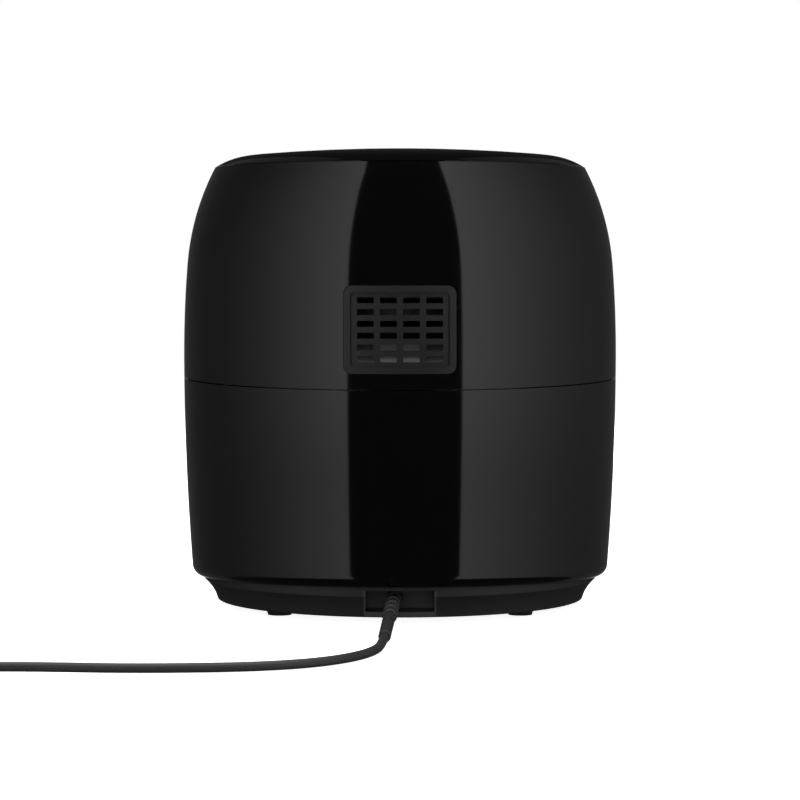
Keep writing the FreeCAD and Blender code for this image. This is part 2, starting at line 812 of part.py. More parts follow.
def bladed_wheel(name, radius, low, height):
    """Hub, back disc and straight radial blades as one casting."""
    disc_low = low + height - blade_wall
    wheel = turned(name, [
        (bore, low), (hub_radius, low), (hub_radius, disc_low), (radius, disc_low),
        (radius, low + height), (bore, low + height),
    ])
    blades = []
    for number in range(blade_count):
        blade = prism(name, "XZ_Plane", -blade_wall / 2, blade_wall, [[
            (hub_radius - 1, low), (radius * 0.9, low), (radius, disc_low + blade_wall / 2),
            (hub_radius - 1, disc_low + blade_wall / 2),
        ]])
        blade.Placement.Rotation = FreeCAD.Rotation(FreeCAD.Vector(0, 0, 1), 360 / blade_count * number)
        blades.append(blade)
    return joined(name, [wheel] + blades)


piece("convection_fan", bladed_wheel("fan", fan_radius, fan_low, fan_height))
piece("cooling_fan", bladed_wheel("cooler", cooler_radius, cooler_low, fan_height))
nut_low = fan_low - nut_height
motor_low = bracket_low + bracket_wall
piece("fan_nut", prism("nut", "XY_Plane", nut_low, nut_height, [[
    (nut_radius * math.cos(math.radians(60 * n)), nut_radius * math.sin(math.radians(60 * n))) for n in range(6)
]], [(0, 0, bore)]))
piece("motor_shaft", grouped("shaft", [
    rod("shaft_rod", shaft_radius, motor_low + motor_height - nut_low + nut_height, 0, 0, nut_low)
]))
bracket_bar = prism("bracket_bar", "XZ_Plane", -bracket_width / 2, bracket_width, [[
    (-bracket_half, shield_top), (bracket_wall - bracket_half, shield_top),
    (bracket_wall - bracket_half, bracket_low), (bracket_half - bracket_wall, bracket_low),
    (bracket_half - bracket_wall, shield_top), (bracket_half, shield_top),
    (bracket_half, motor_low), (-bracket_half, motor_low),
]])
piece("motor_bracket", cut("bracket_cut", bracket_bar, rod("bracket_bore", bore, past_body, 0, 0, shield_top)))
motor_edge = motor_radius * 0.2
piece("motor", turned("motor_can", [
    (bore, motor_low), (motor_radius, motor_low), (motor_radius, motor_low + motor_height - motor_edge, motor_edge),
    (motor_radius - motor_edge, motor_low + motor_height), (bore, motor_low + motor_height),
]))

# Sensors and wiring blocks
bulb_radius = size("bulb_radius", 3)
bulb_length = size("bulb_length", 60)
bulb_y = size("bulb_y", 90)
fuse_radius = size("fuse_radius", 4)
fuse_length = size("fuse_length", 22)
fuse_y = size("fuse_y", 60)
piece("thermostat_bulb", grouped("bulb", [
    rod("bulb_rod", bulb_radius, bulb_length, -bulb_length / 2, -bulb_y, liner_high - bulb_radius - fit_gap, "X")
]))
piece("thermal_fuse", grouped("fuse", [
    rod("fuse_rod", fuse_radius, fuse_length, -fuse_length / 2, fuse_y, shield_top + fuse_radius + fit_gap, "X")
]))

# Drawer rails: two runners on the base pan's floor that carry the drawer pan
pan_low = size("pan_low", 33)
pan_high = size("pan_high", 150)
pan_width = size("pan_width", 216)
pan_corner = size("pan_corner", 55)
pan_wall = size("pan_wall", 1.2)
pan_flange = size("pan_flange", 4)
pan_round = size("pan_round", 12)
rail_blocks = [
    block(
        "rail", rail_spread * across - rail_width / 2, -rail_half_length, floor_top,
        rail_width, rail_half_length * 2, pan_low - fit_gap - floor_top,
    )
    for across in SIDES
]
piece("drawer_rails", cut("rails_cut", grouped("rails", rail_blocks), screw_holes))

# Terminal block, cord clamp and drawer switch stand on the base pan's floor behind the rails
terminal_width = size("terminal_width", 40)
terminal_depth = size("terminal_depth", 18)
terminal_height = size("terminal_height", 14)
clamp_width = size("clamp_width", 26)
clamp_depth = size("clamp_depth", 9)
switch_width = size("switch_width", 14)
switch_depth = size("switch_depth", 5)
switch_height = size("switch_height", 36)
tray_front = recess_back - recess_wall
clamp_y = tray_front - clamp_depth - fit_gap
terminal_y = clamp_y - terminal_depth - clamp_depth
switch_y = pan_width / 2 + front_gap
piece("terminal_block", grouped("terminals", [block(
    "terminal", -terminal_width / 2, terminal_y, floor_top, terminal_width, terminal_depth, terminal_height
)]))
piece("cord_clamp", grouped("clamp", [block(
    "clamp_bar", -clamp_width / 2, clamp_y, floor_top, clamp_width, clamp_depth, terminal_height
)]))
piece("drawer_switch", grouped("switch", [block(
    "switch_case", tray_half + front_gap * 4, switch_y, floor_top, switch_width, switch_depth, switch_height
)]))


def tub(name, width, corner, low, high, round_under):
    """Upright rounded box with its bottom edge rounded over."""
    blank = prism(name, "XY_Plane", low, high - low, [rounded_box(as_size(0), as_size(0), width, width, corner)])
    return rounded(name + "_round", blank, round_under, lambda edge: edge.BoundBox.ZMax < low.value + 0.01)


def rim(name, width, corner, low, thickness):
    """Flat rounded plate that becomes a tub's flange."""
    return prism(name, "XY_Plane", low, thickness, [rounded_box(as_size(0), as_size(0), width, width, corner)])


# Drawer pan: a deep-drawn tub with a flange
pan_tub = tub("pan_tub", pan_width, pan_corner, pan_low, pan_high, pan_round)
pan_bore = tub(
    "pan_bore", pan_width - pan_wall * 2, pan_corner - pan_wall, pan_low + pan_wall, pan_high * 2,
    pan_round - pan_wall,
)
pan_rim = rim(
    "pan_rim", pan_width + pan_flange * 2, pan_corner + pan_flange, pan_high - pan_wall, pan_wall
)
piece("drawer_pan", cut("pan_cut", joined("pan_joined", [pan_tub, pan_rim]), pan_bore))

# Basket: a perforated tub that hangs by its flange on the pan's flange and stands on four studs
basket_gap = size("basket_gap", 5)
basket_lift = size("basket_lift", 7)
hole_width = size("hole_width", 15)
hole_height = size("hole_height", 6)
hole_pitch_x = size("hole_pitch_x", 24)
hole_pitch_y = size("hole_pitch_y", 13)
hole_columns = 5
hole_rows = 9
basket_width = pan_width - pan_wall * 2 - basket_gap * 2
basket_corner = pan_corner - pan_wall - basket_gap
basket_low = pan_low + pan_wall + basket_lift
basket_tub = tub("basket_tub", basket_width, basket_corner, basket_low, pan_high, pan_round)
basket_rim = rim("basket_rim", pan_width, pan_corner, pan_high, pan_wall)
basket_bore = tub(
    "basket_bore", basket_width - pan_wall * 2, basket_corner - pan_wall, basket_low + pan_wall, pan_high * 2,
    pan_round - pan_wall,
)
studs = [
    rod("stud", hole_height / 2, basket_lift + pan_wall, rail_spread * a, rail_spread * b, pan_low + pan_wall)
    for a, b in FOUR
]
holes = []
for column in range(hole_columns):
    for row in range(hole_rows):
        hole_x = hole_pitch_x * (column - (hole_columns - 1) / 2) - hole_width / 2
        hole_y = hole_pitch_y * (row - (hole_rows - 1) / 2) - hole_height / 2
        holes.append(block("hole", hole_x, hole_y, pan_low, hole_width, hole_height, basket_lift * 2))
basket_joined = joined("basket_joined", [basket_tub, basket_rim])
basket_open = cut("basket_open", basket_joined, basket_bore, grouped("holes", holes))
piece("basket", joined("basket_studded", [basket_open] + studs))

# Drawer front: the lower shell's front with four bosses that carry the flat inner panel
inner_panel_wall = size("inner_panel_wall", 3)
panel_side_room = size("panel_side_room", 67)
inner_panel_half = body_radius - panel_side_room
inner_panel_low = size("inner_panel_low", 38)
inner_panel_high = size("inner_panel_high", 153)
boss_radius = size("boss_radius", 6)
boss_across = size("boss_across", 70)
boss_low = size("boss_low", 58)
boss_high = size("boss_high", 136)
panel_back = pan_width / 2 + pan_flange + fit_gap
panel_face = panel_back + inner_panel_wall
bosses_at = [(boss_across * across, up) for across in SIDES for up in (boss_low, boss_high)]
front_cutter = front_prism("front_cutter", front_half_width, front_depth, junction_height + seam_gap)
front_shell = common("front_shell", lower_shell, front_cutter)
boss_rods = [rod("boss", boss_radius, past_body - panel_face, x, -panel_face, z, "-Y") for x, z in bosses_at]
boss_trim = [common("boss_trim", boss, barrel_outside) for boss in boss_rods]
boss_holes = [
    rod("boss_hole", screw_radius + fit_gap, screw_bite, x, -panel_back, z, "-Y") for x, z in bosses_at
]
piece("drawer_front", cut(
    "front_cut", joined("front_joined", [front_shell] + boss_trim), grouped("boss_holes", boss_holes)
))
inner_plate = block(
    "inner_plate", -inner_panel_half, -panel_face, inner_panel_low,
    inner_panel_half * 2, inner_panel_wall, inner_panel_high - inner_panel_low,
)
plate_holes = [
    rod("plate_hole", screw_radius + fit_gap, past_body, x, 0, z, "-Y") for x, z in bosses_at
]
piece("drawer_inner_panel", cut("inner_cut", inner_plate, grouped("plate_holes", plate_holes)))
piece("drawer_screws", grouped("drawer_screw_group", [
    joined("drawer_screw", [
        rod("screw_head", screw_head_radius, screw_head_height, x, -panel_back, z, "Y"),
        rod("screw_shank", screw_radius, screw_bite - screw_end_gap, x, -panel_back, z, "-Y"),
    ])
    for x, z in bosses_at
]))

# Basket bracket: a bent strap from the basket's rim to the inner panel
bracket_span = size("bracket_span", 36)
strap_wall = size("strap_wall", 2)
strap_low = pan_high + pan_wall
piece("basket_bracket", prism("basket_strap", "YZ_Plane", -bracket_span / 2, bracket_span, [[
    (-panel_back + fit_gap, strap_low),
    (-basket_width / 2 + basket_gap, strap_low),
    (-basket_width / 2 + basket_gap, strap_low + strap_wall),
    (-panel_back + fit_gap, strap_low + strap_wall),
]]))

# Handle: a closed loop on the drawer front, with a pocket for the release button
handle_width = size("handle_width", 32)
handle_low = size("handle_low", 64)
handle_high = size("handle_high", 150)
handle_corner = size("handle_corner", 16)
grip_thickness = size("grip_thickness", 16)
arm_thickness = size("arm_thickness", 15)
heel_thickness = size("heel_thickness", 6)
handle_round = size("handle_round", 3)
handle_front = body_radius + handle_reach
finger_near = body_radius + heel_thickness
finger_depth = handle_reach - heel_thickness - grip_thickness
button_width = size("button_width", 17)
button_length = size("button_length", 20)
button_proud = size("button_proud", 1.4)
button_height = size("button_height", 6)
button_travel = size("button_travel", 3)
pocket_depth = size("pocket_depth", 10.5)
button_middle = -(body_radius + handle_reach / 2)

handle_tall = handle_high - handle_low
handle_deep = handle_reach + heel_thickness * 3
loop_blank = prism("loop_blank", "YZ_Plane", -handle_width / 2, handle_width, [rounded_box(
    handle_deep / 2 - handle_front, handle_low + handle_tall / 2, handle_deep, handle_tall, handle_corner
)])
loop_round = rounded(
    "loop_round", loop_blank, handle_round, lambda edge: edge.BoundBox.XLength < 0.01
)
finger_tall = handle_tall - arm_thickness * 2
finger_hole = prism("finger_hole", "YZ_Plane", -handle_width, handle_width * 2, [rounded_box(
    -finger_near - finger_depth / 2, handle_low + handle_tall / 2, finger_depth, finger_tall, handle_corner / 2
)])
handle_seat = barrel("handle_seat", -fit_gap, barrel_low, lid_seam_height)
pocket = block(
    "pocket", -button_width / 2 - fit_gap, button_middle - button_length / 2 - fit_gap, handle_high - pocket_depth,
    button_width + fit_gap * 2, button_length + fit_gap * 2, pocket_depth * 2,
)
piece("handle", cut("handle_cut", loop_round, finger_hole, handle_seat, pocket))

# Release button on its spring, under a clear guard that slides along the handle
button_low = handle_high + button_proud - button_height
piece("release_button", prism("button", "XY_Plane", button_low, button_height, [rounded_box(
    as_size(0), button_middle, button_width, button_length, button_height / 2
)]))
spring_radius = size("spring_radius", 4)
spring_wire = size("spring_wire", 0.5)
spring_turns = 3
spring_play = size("spring_play", 0.05)
spring_low = handle_high - pocket_depth + spring_wire + spring_play
spring_pitch = (button_low - spring_low - spring_wire - spring_play) / spring_turns
helix = Part.makeHelix(spring_pitch.value, spring_pitch.value * spring_turns, spring_radius.value)
wire_ring = Part.Wire(Part.makeCircle(
    spring_wire.value, FreeCAD.Vector(spring_radius.value, 0, 0), FreeCAD.Vector(0, 1, 0)
))
coil_spring = doc.addObject("Part::Feature", "coil_spring")
coil_spring.Shape = Part.Wire(helix.Edges).makePipeShell([wire_ring], True, True)
place(coil_spring, 0, button_middle, spring_low)
piece("button_spring", grouped("spring_group", [coil_spring]))
guard_wall = size("guard_wall", 1.5)
guard_length = size("guard_length", 26)
guard_lift = size("guard_lift", 1)
guard_drop = size("guard_drop", 8)
guard_inner = handle_width / 2 + fit_gap
guard_outer = guard_inner + guard_wall
guard_low = handle_high - guard_drop
guard_ceiling = handle_high + button_proud + guard_lift
piece("button_guard", prism("guard", "XZ_Plane", -button_middle - guard_length / 2, guard_length, [[
    (-guard_outer, guard_low), (-guard_inner, guard_low), (-guard_inner, guard_ceiling),
    (guard_inner, guard_ceiling), (guard_inner, guard_low), (guard_outer, guard_low),
    (guard_outer, guard_ceiling + guard_wall), (-guard_outer, guard_ceiling + guard_wall),
]]))

# Mains lead: the ribbed guard and a smooth sleeve leave the recess in one straight line down to the floor
lead_radius = size("lead_radius", 3)
guard_groove = size("guard_groove", 3.4)
rib_radius = size("rib_radius", 4.4)
rib_length = size("rib_length", 3.4)
rib_pitch = size("rib_pitch", 6.8)
collar_radius = size("collar_radius", 6)
collar_length = size("collar_length", 4)
sleeve_radius = size("sleeve_radius", 4.1)
rib_count = 6
guard_seat = size("guard_seat", 1)
GUARD_START = FreeCAD.Vector(3.3, recess_back.value + guard_seat.value, 18.5)
sleeve_reach = size("sleeve_reach", 77)
SLEEVE_END = FreeCAD.Vector(10, body_radius.value + sleeve_reach.value, 4.7)
guard_line = SLEEVE_END - GUARD_START
guard_turn = FreeCAD.Rotation(FreeCAD.Vector(0, 0, 1), guard_line)


def along_guard(thing):
    """Turn an upright shape into the line of the guard."""
    thing.Placement = FreeCAD.Placement(GUARD_START, guard_turn)
    return thing


rib_outline = [(0, 0), (collar_radius, 0), (collar_radius, collar_length), (guard_groove, collar_length)]
for rib in range(rib_count):
    rib_low = collar_length + rib_pitch * rib + (rib_pitch - rib_length)
    rib_outline += [
        (guard_groove, rib_low), (rib_radius, rib_low),
        (rib_radius, rib_low + rib_length), (guard_groove, rib_low + rib_length),
    ]
guard_length_all = collar_length + rib_pitch * rib_count + rib_pitch - rib_length
rib_outline += [(guard_groove, guard_length_all), (0, guard_length_all)]
piece("cord_guard", grouped("guard_line", [along_guard(turned("guard_ribs", rib_outline))]))
sleeve_edge = sleeve_radius * 0.2
sleeve_high = guard_line.Length
piece("cord_sleeve", grouped("sleeve_line", [along_guard(turned("sleeve_tube", [
    (0, guard_length_all),
    (sleeve_radius - sleeve_edge, guard_length_all, sleeve_edge),
    (sleeve_radius, guard_length_all + sleeve_edge),
    (sleeve_radius, sleeve_high - sleeve_edge, sleeve_edge),
    (sleeve_radius - sleeve_edge, sleeve_high),
    (0, sleeve_high),
]))]))

# The lead's free stretch along the floor; its last point is where the coil begins
LEAD_ROUTE = [
    (10, 232, 4.7), (11.6, 262, 3.4), (16, 292, 3.2), (29, 322, 3.2), (52, 348, 3.2), (86, 365, 3.3),
    (128, 372, 3.4), (172, 374, 3.6), (212, 370.5, 3.9), (250, 372, 4.2), (290, 372, 4.2),
]
BEND_SHARE = 0.45


def cord_path(route):
    """Straight runs joined by the largest tangent arcs that the runs allow."""
    points = [FreeCAD.Vector(*point) for point in route]
    edges = []
    radii = []
    last = points[0]
    for before, corner, after in zip(points, points[1:], points[2:]):
        inward = (before - corner).normalize()
        outward = (after - corner).normalize()
        half_turn = (math.pi - inward.getAngle(outward)) / 2
        trim = BEND_SHARE * min((before - corner).Length, (after - corner).Length)
        radius = trim / math.tan(half_turn)
        radii.append(radius)
        towards = (inward + outward).normalize()
        middle = corner + towards * (radius / math.cos(half_turn) - radius)
        begin = corner + inward * trim
        finish = corner + outward * trim
        edges.append(Part.LineSegment(last, begin).toShape())
        edges.append(Part.Arc(begin, middle, finish).toShape())
        last = finish
    edges.append(Part.LineSegment(last, points[-1]).toShape())
    print("lead bends, mm:", [round(radius) for radius in radii])
    return Part.Wire(edges)


def cord_tube(name, path):
    """Round tube of the lead's size along a path."""
    first = path.Edges[0]
    heading = first.tangentAt(first.FirstParameter)
    ring = Part.Wire(Part.makeCircle(lead_radius.value, first.valueAt(first.FirstParameter), heading))
    tube = doc.addObject("Part::Feature", name)
    tube.Shape = path.makePipeShell([ring], True, False)
    section = math.pi * lead_radius.value ** 2
    share = tube.Shape.Volume / section / path.Length
    print(name, "length, mm:", round(path.Length), "volume share:", round(share, 4))
    return tube


piece("mains_lead", cord_tube("lead_tube", cord_path(LEAD_ROUTE)))

# The coil: half circles that spiral in on the floor, climb a layer and spiral out above
coil_radius = size("coil_radius", 36.5)
coil_gap = size("coil_gap", 0.5)
coil_tail = size("coil_tail", 34)
coil_step = lead_radius.value * 2 + coil_gap.value
COIL_HALVES = [(0, 0), (-1, 0), (-2, 1), (-1, 0)]
coil_at = FreeCAD.Vector(*LEAD_ROUTE[-1])
coil_edges = []
heading = 1
for step, climb in COIL_HALVES:
    bend = coil_radius.value + step * coil_step / 2
    rise = climb * coil_step / 2
    flat = math.sqrt(bend * bend - rise * rise)
    middle = coil_at + FreeCAD.Vector(0, -heading * flat, rise)
    after = coil_at + FreeCAD.Vector(0, -heading * flat * 2, rise * 2)
    coil_edges.append(Part.Arc(coil_at, middle + FreeCAD.Vector(heading * bend, 0, 0), after).toShape())
    coil_at = after
    heading = -heading
coil_end = coil_at + FreeCAD.Vector(coil_tail.value, 0, 0)
coil_edges.append(Part.LineSegment(coil_at, coil_end).toShape())
coil_path = Part.Wire(coil_edges)
piece("lead_coil", cord_tube("coil_tube", coil_path))

# Least gap between stretches of the coil that are more than a quarter turn apart along it
coil_points = coil_path.discretize(Distance=2)
apart = int(math.pi * coil_radius.value / 2 / 2)
nearest = min(
    (coil_points[a] - coil_points[b]).Length
    for a in range(len(coil_points)) for b in range(a + apart, len(coil_points))
)
print("coil's least gap, mm:", round(nearest - lead_radius.value * 2, 2))

# Tie round both layers, and a round two-pin plug on the coil's end
tie_wall = size("tie_wall", 0.8)
tie_length = size("tie_length", 8)
plug_radius = size("plug_radius", 12)
plug_length = size("plug_length", 34)
plug_neck = size("plug_neck", 12)
pin_radius = size("pin_radius", 2.3)
pin_length = size("pin_length", 19)
pin_spread = size("pin_spread", 9.5)
pin_root = size("pin_root", 1)
neck_wall = size("neck_wall", 1)
plug_flat = size("plug_flat", 10.6)
tie_half = size("tie_half", 4.8)
tie_shift = size("tie_shift", 0.9)
coil_start = FreeCAD.Vector(*LEAD_ROUTE[-1])
tie_x = coil_start.x - coil_radius.value + coil_step / 2 + tie_shift
tie_y = coil_start.y - coil_radius.value - coil_step / 4
tie_tall = lead_radius * 4 + coil_gap + fit_gap * 2
tie_low = coil_start.z - lead_radius - fit_gap
tie_outer = block(
    "tie_outer", tie_x - tie_half - tie_wall, tie_y - tie_length / 2, tie_low - tie_wall,
    (tie_half + tie_wall) * 2, tie_length, tie_tall + tie_wall * 2,
)
tie_bore = block(
    "tie_bore", tie_x - tie_half, tie_y - tie_length, tie_low, tie_half * 2, tie_length * 2, tie_tall
)
piece("lead_tie", cut("tie_cut", tie_outer, tie_bore))
neck = doc.addObject("Part::Cone", "neck")
bind(neck, "Radius1", lead_radius + neck_wall)
bind(neck, "Radius2", plug_flat * 0.8)
bind(neck, "Height", plug_neck)
neck.Placement = FreeCAD.Placement(coil_end, FreeCAD.Rotation(FreeCAD.Vector(0, 1, 0), 90))
plug_start = coil_end.x + plug_neck
plug_body = rod("plug_body", plug_radius, plug_length, plug_start, coil_end.y, coil_end.z, "X")
plug_slice = block(
    "plug_slice", plug_start, coil_end.y - plug_radius * 2, coil_end.z - plug_flat,
    plug_length, plug_radius * 4, plug_flat * 2,
)
plug_pins = [
    rod(
        "pin", pin_radius, pin_length + pin_root, plug_start + plug_length - pin_root,
        coil_end.y + pin_spread * a, coil_end.z, "X",
    )
    for a in SIDES
]
piece("plug", joined("plug_joined", [neck, common("plug_flatted", plug_body, plug_slice)] + plug_pins))


# Every object has to be sound before any piece is written
doc.recompute()
for thing in doc.Objects:
    if "Invalid" in thing.State or "Error" in thing.State:
        raise RuntimeError(thing.Name + " (" + thing.Label + ") failed to build")
os.makedirs("parts", exist_ok=True)
for shape in pieces:
    if shape.Shape.isNull() or not shape.Shape.isValid():
        raise RuntimeError(shape.Label + " has no sound shape")
    shape.Shape.exportStep("parts/" + shape.Label + ".step")
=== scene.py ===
import json
import math
import bmesh
import bpy
from mathutils import Matrix, Vector


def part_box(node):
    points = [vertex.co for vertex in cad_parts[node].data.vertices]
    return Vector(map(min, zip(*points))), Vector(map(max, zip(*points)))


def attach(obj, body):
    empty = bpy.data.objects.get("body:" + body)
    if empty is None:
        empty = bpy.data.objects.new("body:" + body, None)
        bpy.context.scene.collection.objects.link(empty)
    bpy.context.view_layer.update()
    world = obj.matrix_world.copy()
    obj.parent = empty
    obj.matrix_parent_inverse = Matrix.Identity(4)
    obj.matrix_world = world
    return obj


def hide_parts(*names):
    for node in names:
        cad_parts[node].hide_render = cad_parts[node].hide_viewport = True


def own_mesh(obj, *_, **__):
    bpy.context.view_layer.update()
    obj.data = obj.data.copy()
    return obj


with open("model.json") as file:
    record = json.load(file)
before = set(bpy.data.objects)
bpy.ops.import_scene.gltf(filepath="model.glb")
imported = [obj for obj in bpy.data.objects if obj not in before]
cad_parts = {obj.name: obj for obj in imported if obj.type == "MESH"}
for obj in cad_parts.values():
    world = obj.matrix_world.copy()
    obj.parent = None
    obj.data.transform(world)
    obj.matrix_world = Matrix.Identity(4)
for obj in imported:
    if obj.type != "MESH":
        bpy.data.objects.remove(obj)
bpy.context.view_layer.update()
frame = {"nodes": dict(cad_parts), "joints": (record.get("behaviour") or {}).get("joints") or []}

nodes = frame["nodes"]


# Base pan and feet: a satin black injection moulding in the shape of a shallow dish, with a fine spark-
# eroded grain, a cord recess at the back coloured paler as painted light, and four rubber feet pressed into its
# floor.
class Flow:
    """A shader socket that takes part in Python arithmetic."""

    def __init__(self, finish, socket):
        self.finish = finish
        self.socket = socket

    def __add__(self, other):
        return self.finish.math("ADD", self, other)

    def __radd__(self, other):
        return self.finish.math("ADD", other, self)

    def __sub__(self, other):
        return self.finish.math("SUBTRACT", self, other)

    def __rsub__(self, other):
        return self.finish.math("SUBTRACT", other, self)

    def __mul__(self, other):
        return self.finish.math("MULTIPLY", self, other)

    def __rmul__(self, other):
        return self.finish.math("MULTIPLY", other, self)


class Finish:
    """A material whose surface is written as expressions on its nodes."""

    def __init__(self, name, color, roughness, **sockets):
        self.material = bpy.data.materials.new(name)
        self.material.use_nodes = True
        self.tree = self.material.node_tree
        self.shader = self.tree.nodes["Principled BSDF"]
        self.shader.inputs["Base Color"].default_value = (*color, 1)
        self.shader.inputs["Roughness"].default_value = roughness
        for socket, value in sockets.items():
            self.shader.inputs[socket.replace("_", " ")].default_value = value
        self.place = self.node("ShaderNodeTexCoord", output="Object")

    def node(self, kind, settings=None, inputs=None, output=0):
        made = self.tree.nodes.new(kind)
        for name, value in (settings or {}).items():
            setattr(made, name, value)
        for name, value in (inputs or {}).items():
            if isinstance(value, Flow):
                self.tree.links.new(value.socket, made.inputs[name])
            else:
                made.inputs[name].default_value = value
        return Flow(self, made.outputs[output])

    def math(self, operation, first, second):
        return self.node("ShaderNodeMath", {"operation": operation}, {0: first, 1: second})

    def vector(self, operation, first, second=(0, 0, 0), output="Vector"):
        return self.node("ShaderNodeVectorMath", {"operation": operation}, {0: first, 1: second}, output)

    def grey(self, flow):
        return self.node("ShaderNodeCombineColor", {}, {0: flow, 1: flow, 2: flow})

    def axis(self, name):
        return self.node("ShaderNodeSeparateXYZ", {}, {0: self.place}, name)

    def ramp(self, flow, low, high, start=0.0, end=1.0):
        return self.node("ShaderNodeMapRange", {}, {0: flow, 1: low, 2: high, 3: start, 4: end})

    def noise(self, scale, detail=2.0, stretch=(1, 1, 1)):
        at = self.node("ShaderNodeMapping", {}, {"Vector": self.place, "Scale": stretch})
        return self.node("ShaderNodeTexNoise", {}, {"Vector": at, "Scale": scale, "Detail": detail}, "Fac")

    def feed(self, socket, flow):
        self.tree.links.new(flow.socket, self.shader.inputs[socket])
        return self

    def bump(self, height, strength, distance, normal=None):
        sockets = {"Height": height, "Strength": strength, "Distance": distance}
        if normal:
            sockets["Normal"] = normal
        return self.feed("Normal", self.node("ShaderNodeBump", {}, sockets))

    def mottle(self, dark, light, mask):
        colors = [color if isinstance(color, Flow) else (*color, 1) for color in (dark, light)]
        sockets = {"Factor": mask, 6: colors[0], 7: colors[1]}
        self.last = self.node("ShaderNodeMix", {"data_type": "RGBA"}, sockets, 2)
        return self.feed("Base Color", self.last)


def dress(finish, *names):
    """Give CAD nodes a finish in place of their plain one."""
    for name in names:
        nodes[name].data.materials.clear()
        nodes[name].data.materials.append(finish.material)


def grained_plastic(name, color, roughness, grain, depth):
    """Moulded plastic with a spark-eroded grain, a little uneven in colour and gloss."""
    finish = Finish(name, color, roughness)
    cloud = finish.noise(28)
    pits = finish.noise(grain, 3)
    finish.feed("Roughness", roughness - 0.05 + 0.1 * cloud)
    finish.mottle([0.85 * c for c in color], [1.15 * c for c in color], cloud)
    return finish.bump(pits, 0.25, depth)


BASE_BLACK = (0.010, 0.010, 0.0103)
RECESS_PAINTED_LIGHT = (0.04, 0.04, 0.041)
RECESS_HALF = 0.0245
RECESS_TOP = 0.0238
RECESS_DEPTH = 0.05
base_plastic = grained_plastic("base_plastic", BASE_BLACK, 0.6, 2600, 0.00012)
recess_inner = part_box("base_pan")[1][1] - RECESS_DEPTH
across = base_plastic.math("ABSOLUTE", base_plastic.axis("X"), 0.0)
painted_light_in_recess = base_plastic.math("LESS_THAN", across, RECESS_HALF)
painted_light_in_recess = painted_light_in_recess * base_plastic.math("GREATER_THAN", base_plastic.axis("Y"), recess_inner)
painted_light_in_recess = painted_light_in_recess * base_plastic.math("LESS_THAN", base_plastic.axis("Z"), RECESS_TOP)
# Painted light: the inside of the cord recess is coloured paler than the pan, in place of the light that falls
# into it.
base_plastic.mottle(base_plastic.last, RECESS_PAINTED_LIGHT, painted_light_in_recess)
dress(base_plastic, "base_pan")
FOOT_BLACK = (0.016, 0.016, 0.016)
foot_rubber = grained_plastic("foot_rubber", FOOT_BLACK, 0.72, 1500, 0.0002)
dress(foot_rubber, "rubber_feet")

# Shells, drawer front and top cover: high-gloss black plastic from a polished mould, with the faint long
# waviness of moulded gloss, hairline rubbing marks and a little dust in the gloss.
SHELL_BLACK = (0.001, 0.001, 0.0011)
SHELL_ROUGHNESS = 0.07
OUTWARD = 0.94
gloss_shell = Finish("gloss_shell", SHELL_BLACK, SHELL_ROUGHNESS, IOR=1.5)
waviness = gloss_shell.noise(14, 1)
dust = gloss_shell.noise(420, 4)
gloss_shell.feed("Roughness", SHELL_ROUGHNESS - 0.02 + 0.04 * dust)
gloss_shell.mottle(SHELL_BLACK, [1.5 * c for c in SHELL_BLACK], dust)


def lathe_normal(finish, axis_y):
    """Exact sideways direction of a turned outer face, in place of the one its triangles give."""
    own = finish.node("ShaderNodeTexCoord", output="Normal")
    upright = finish.node("ShaderNodeSeparateXYZ", {}, {0: own}, "Z")
    out = finish.vector("MULTIPLY", finish.vector("SUBTRACT", finish.place, (0, axis_y, 0)), (1, 1, 0))
    out = finish.vector("NORMALIZE", out)
    flat = finish.vector("NORMALIZE", finish.vector("MULTIPLY", own, (1, 1, 0)))
    faced = finish.math("GREATER_THAN", finish.vector("DOT_PRODUCT", flat, out, "Value"), OUTWARD)
    level = finish.math("SQRT", 1.0 - finish.math("MINIMUM", upright * upright, 1.0), 0.0)
    turned = finish.vector("MULTIPLY", out, finish.node("ShaderNodeCombineXYZ", {}, {0: level, 1: level}))
    turned = finish.vector("ADD", turned, finish.node("ShaderNodeCombineXYZ", {}, {2: upright}))
    return finish.node(
        "ShaderNodeMix", {"data_type": "VECTOR"}, {"Factor": faced, 4: own, 5: turned}, 1
    )


AXIS_Y = next(joint["pos_m"][1] for joint in frame["joints"] if joint["name"] == "fan_spin")
gloss_shell.bump(waviness, 0.08, 0.0006, lathe_normal(gloss_shell, AXIS_Y))
dress(gloss_shell, "lower_housing", "upper_housing", "top_cover", "drawer_front")

# Vent grille, handle, panel and dials: matt dark grey plastic with a fine texture that scatters the light.
# The dials are a little paler and smoother, so that they stand out from the panel.
MATT_GREY = (0.008, 0.008, 0.0083)
matt_plastic = grained_plastic("matt_plastic", MATT_GREY, 0.46, 3200, 0.0001)
dress(matt_plastic, "vent_grille", "handle", "control_panel")
KNOB_GREY = (0.045, 0.045, 0.047)
knob_plastic = grained_plastic("knob_plastic", KNOB_GREY, 0.36, 2800, 0.00006)
dress(knob_plastic, "timer_knob", "temperature_knob")

# Inner mouldings: natural grey heat-resistant plastic for the drawer's inner panel and rails, the cooling
# fan and the electrical cases. The panel and rails show when the drawer is out.
INNER_GREY = (0.11, 0.11, 0.115)
inner_plastic = grained_plastic("inner_plastic", INNER_GREY, 0.55, 1800, 0.00015)
dress(
    inner_plastic, "drawer_inner_panel", "drawer_rails", "cooling_fan", "terminal_block",
    "cord_clamp", "drawer_switch", "thermostat_unit", "timer_unit",
)
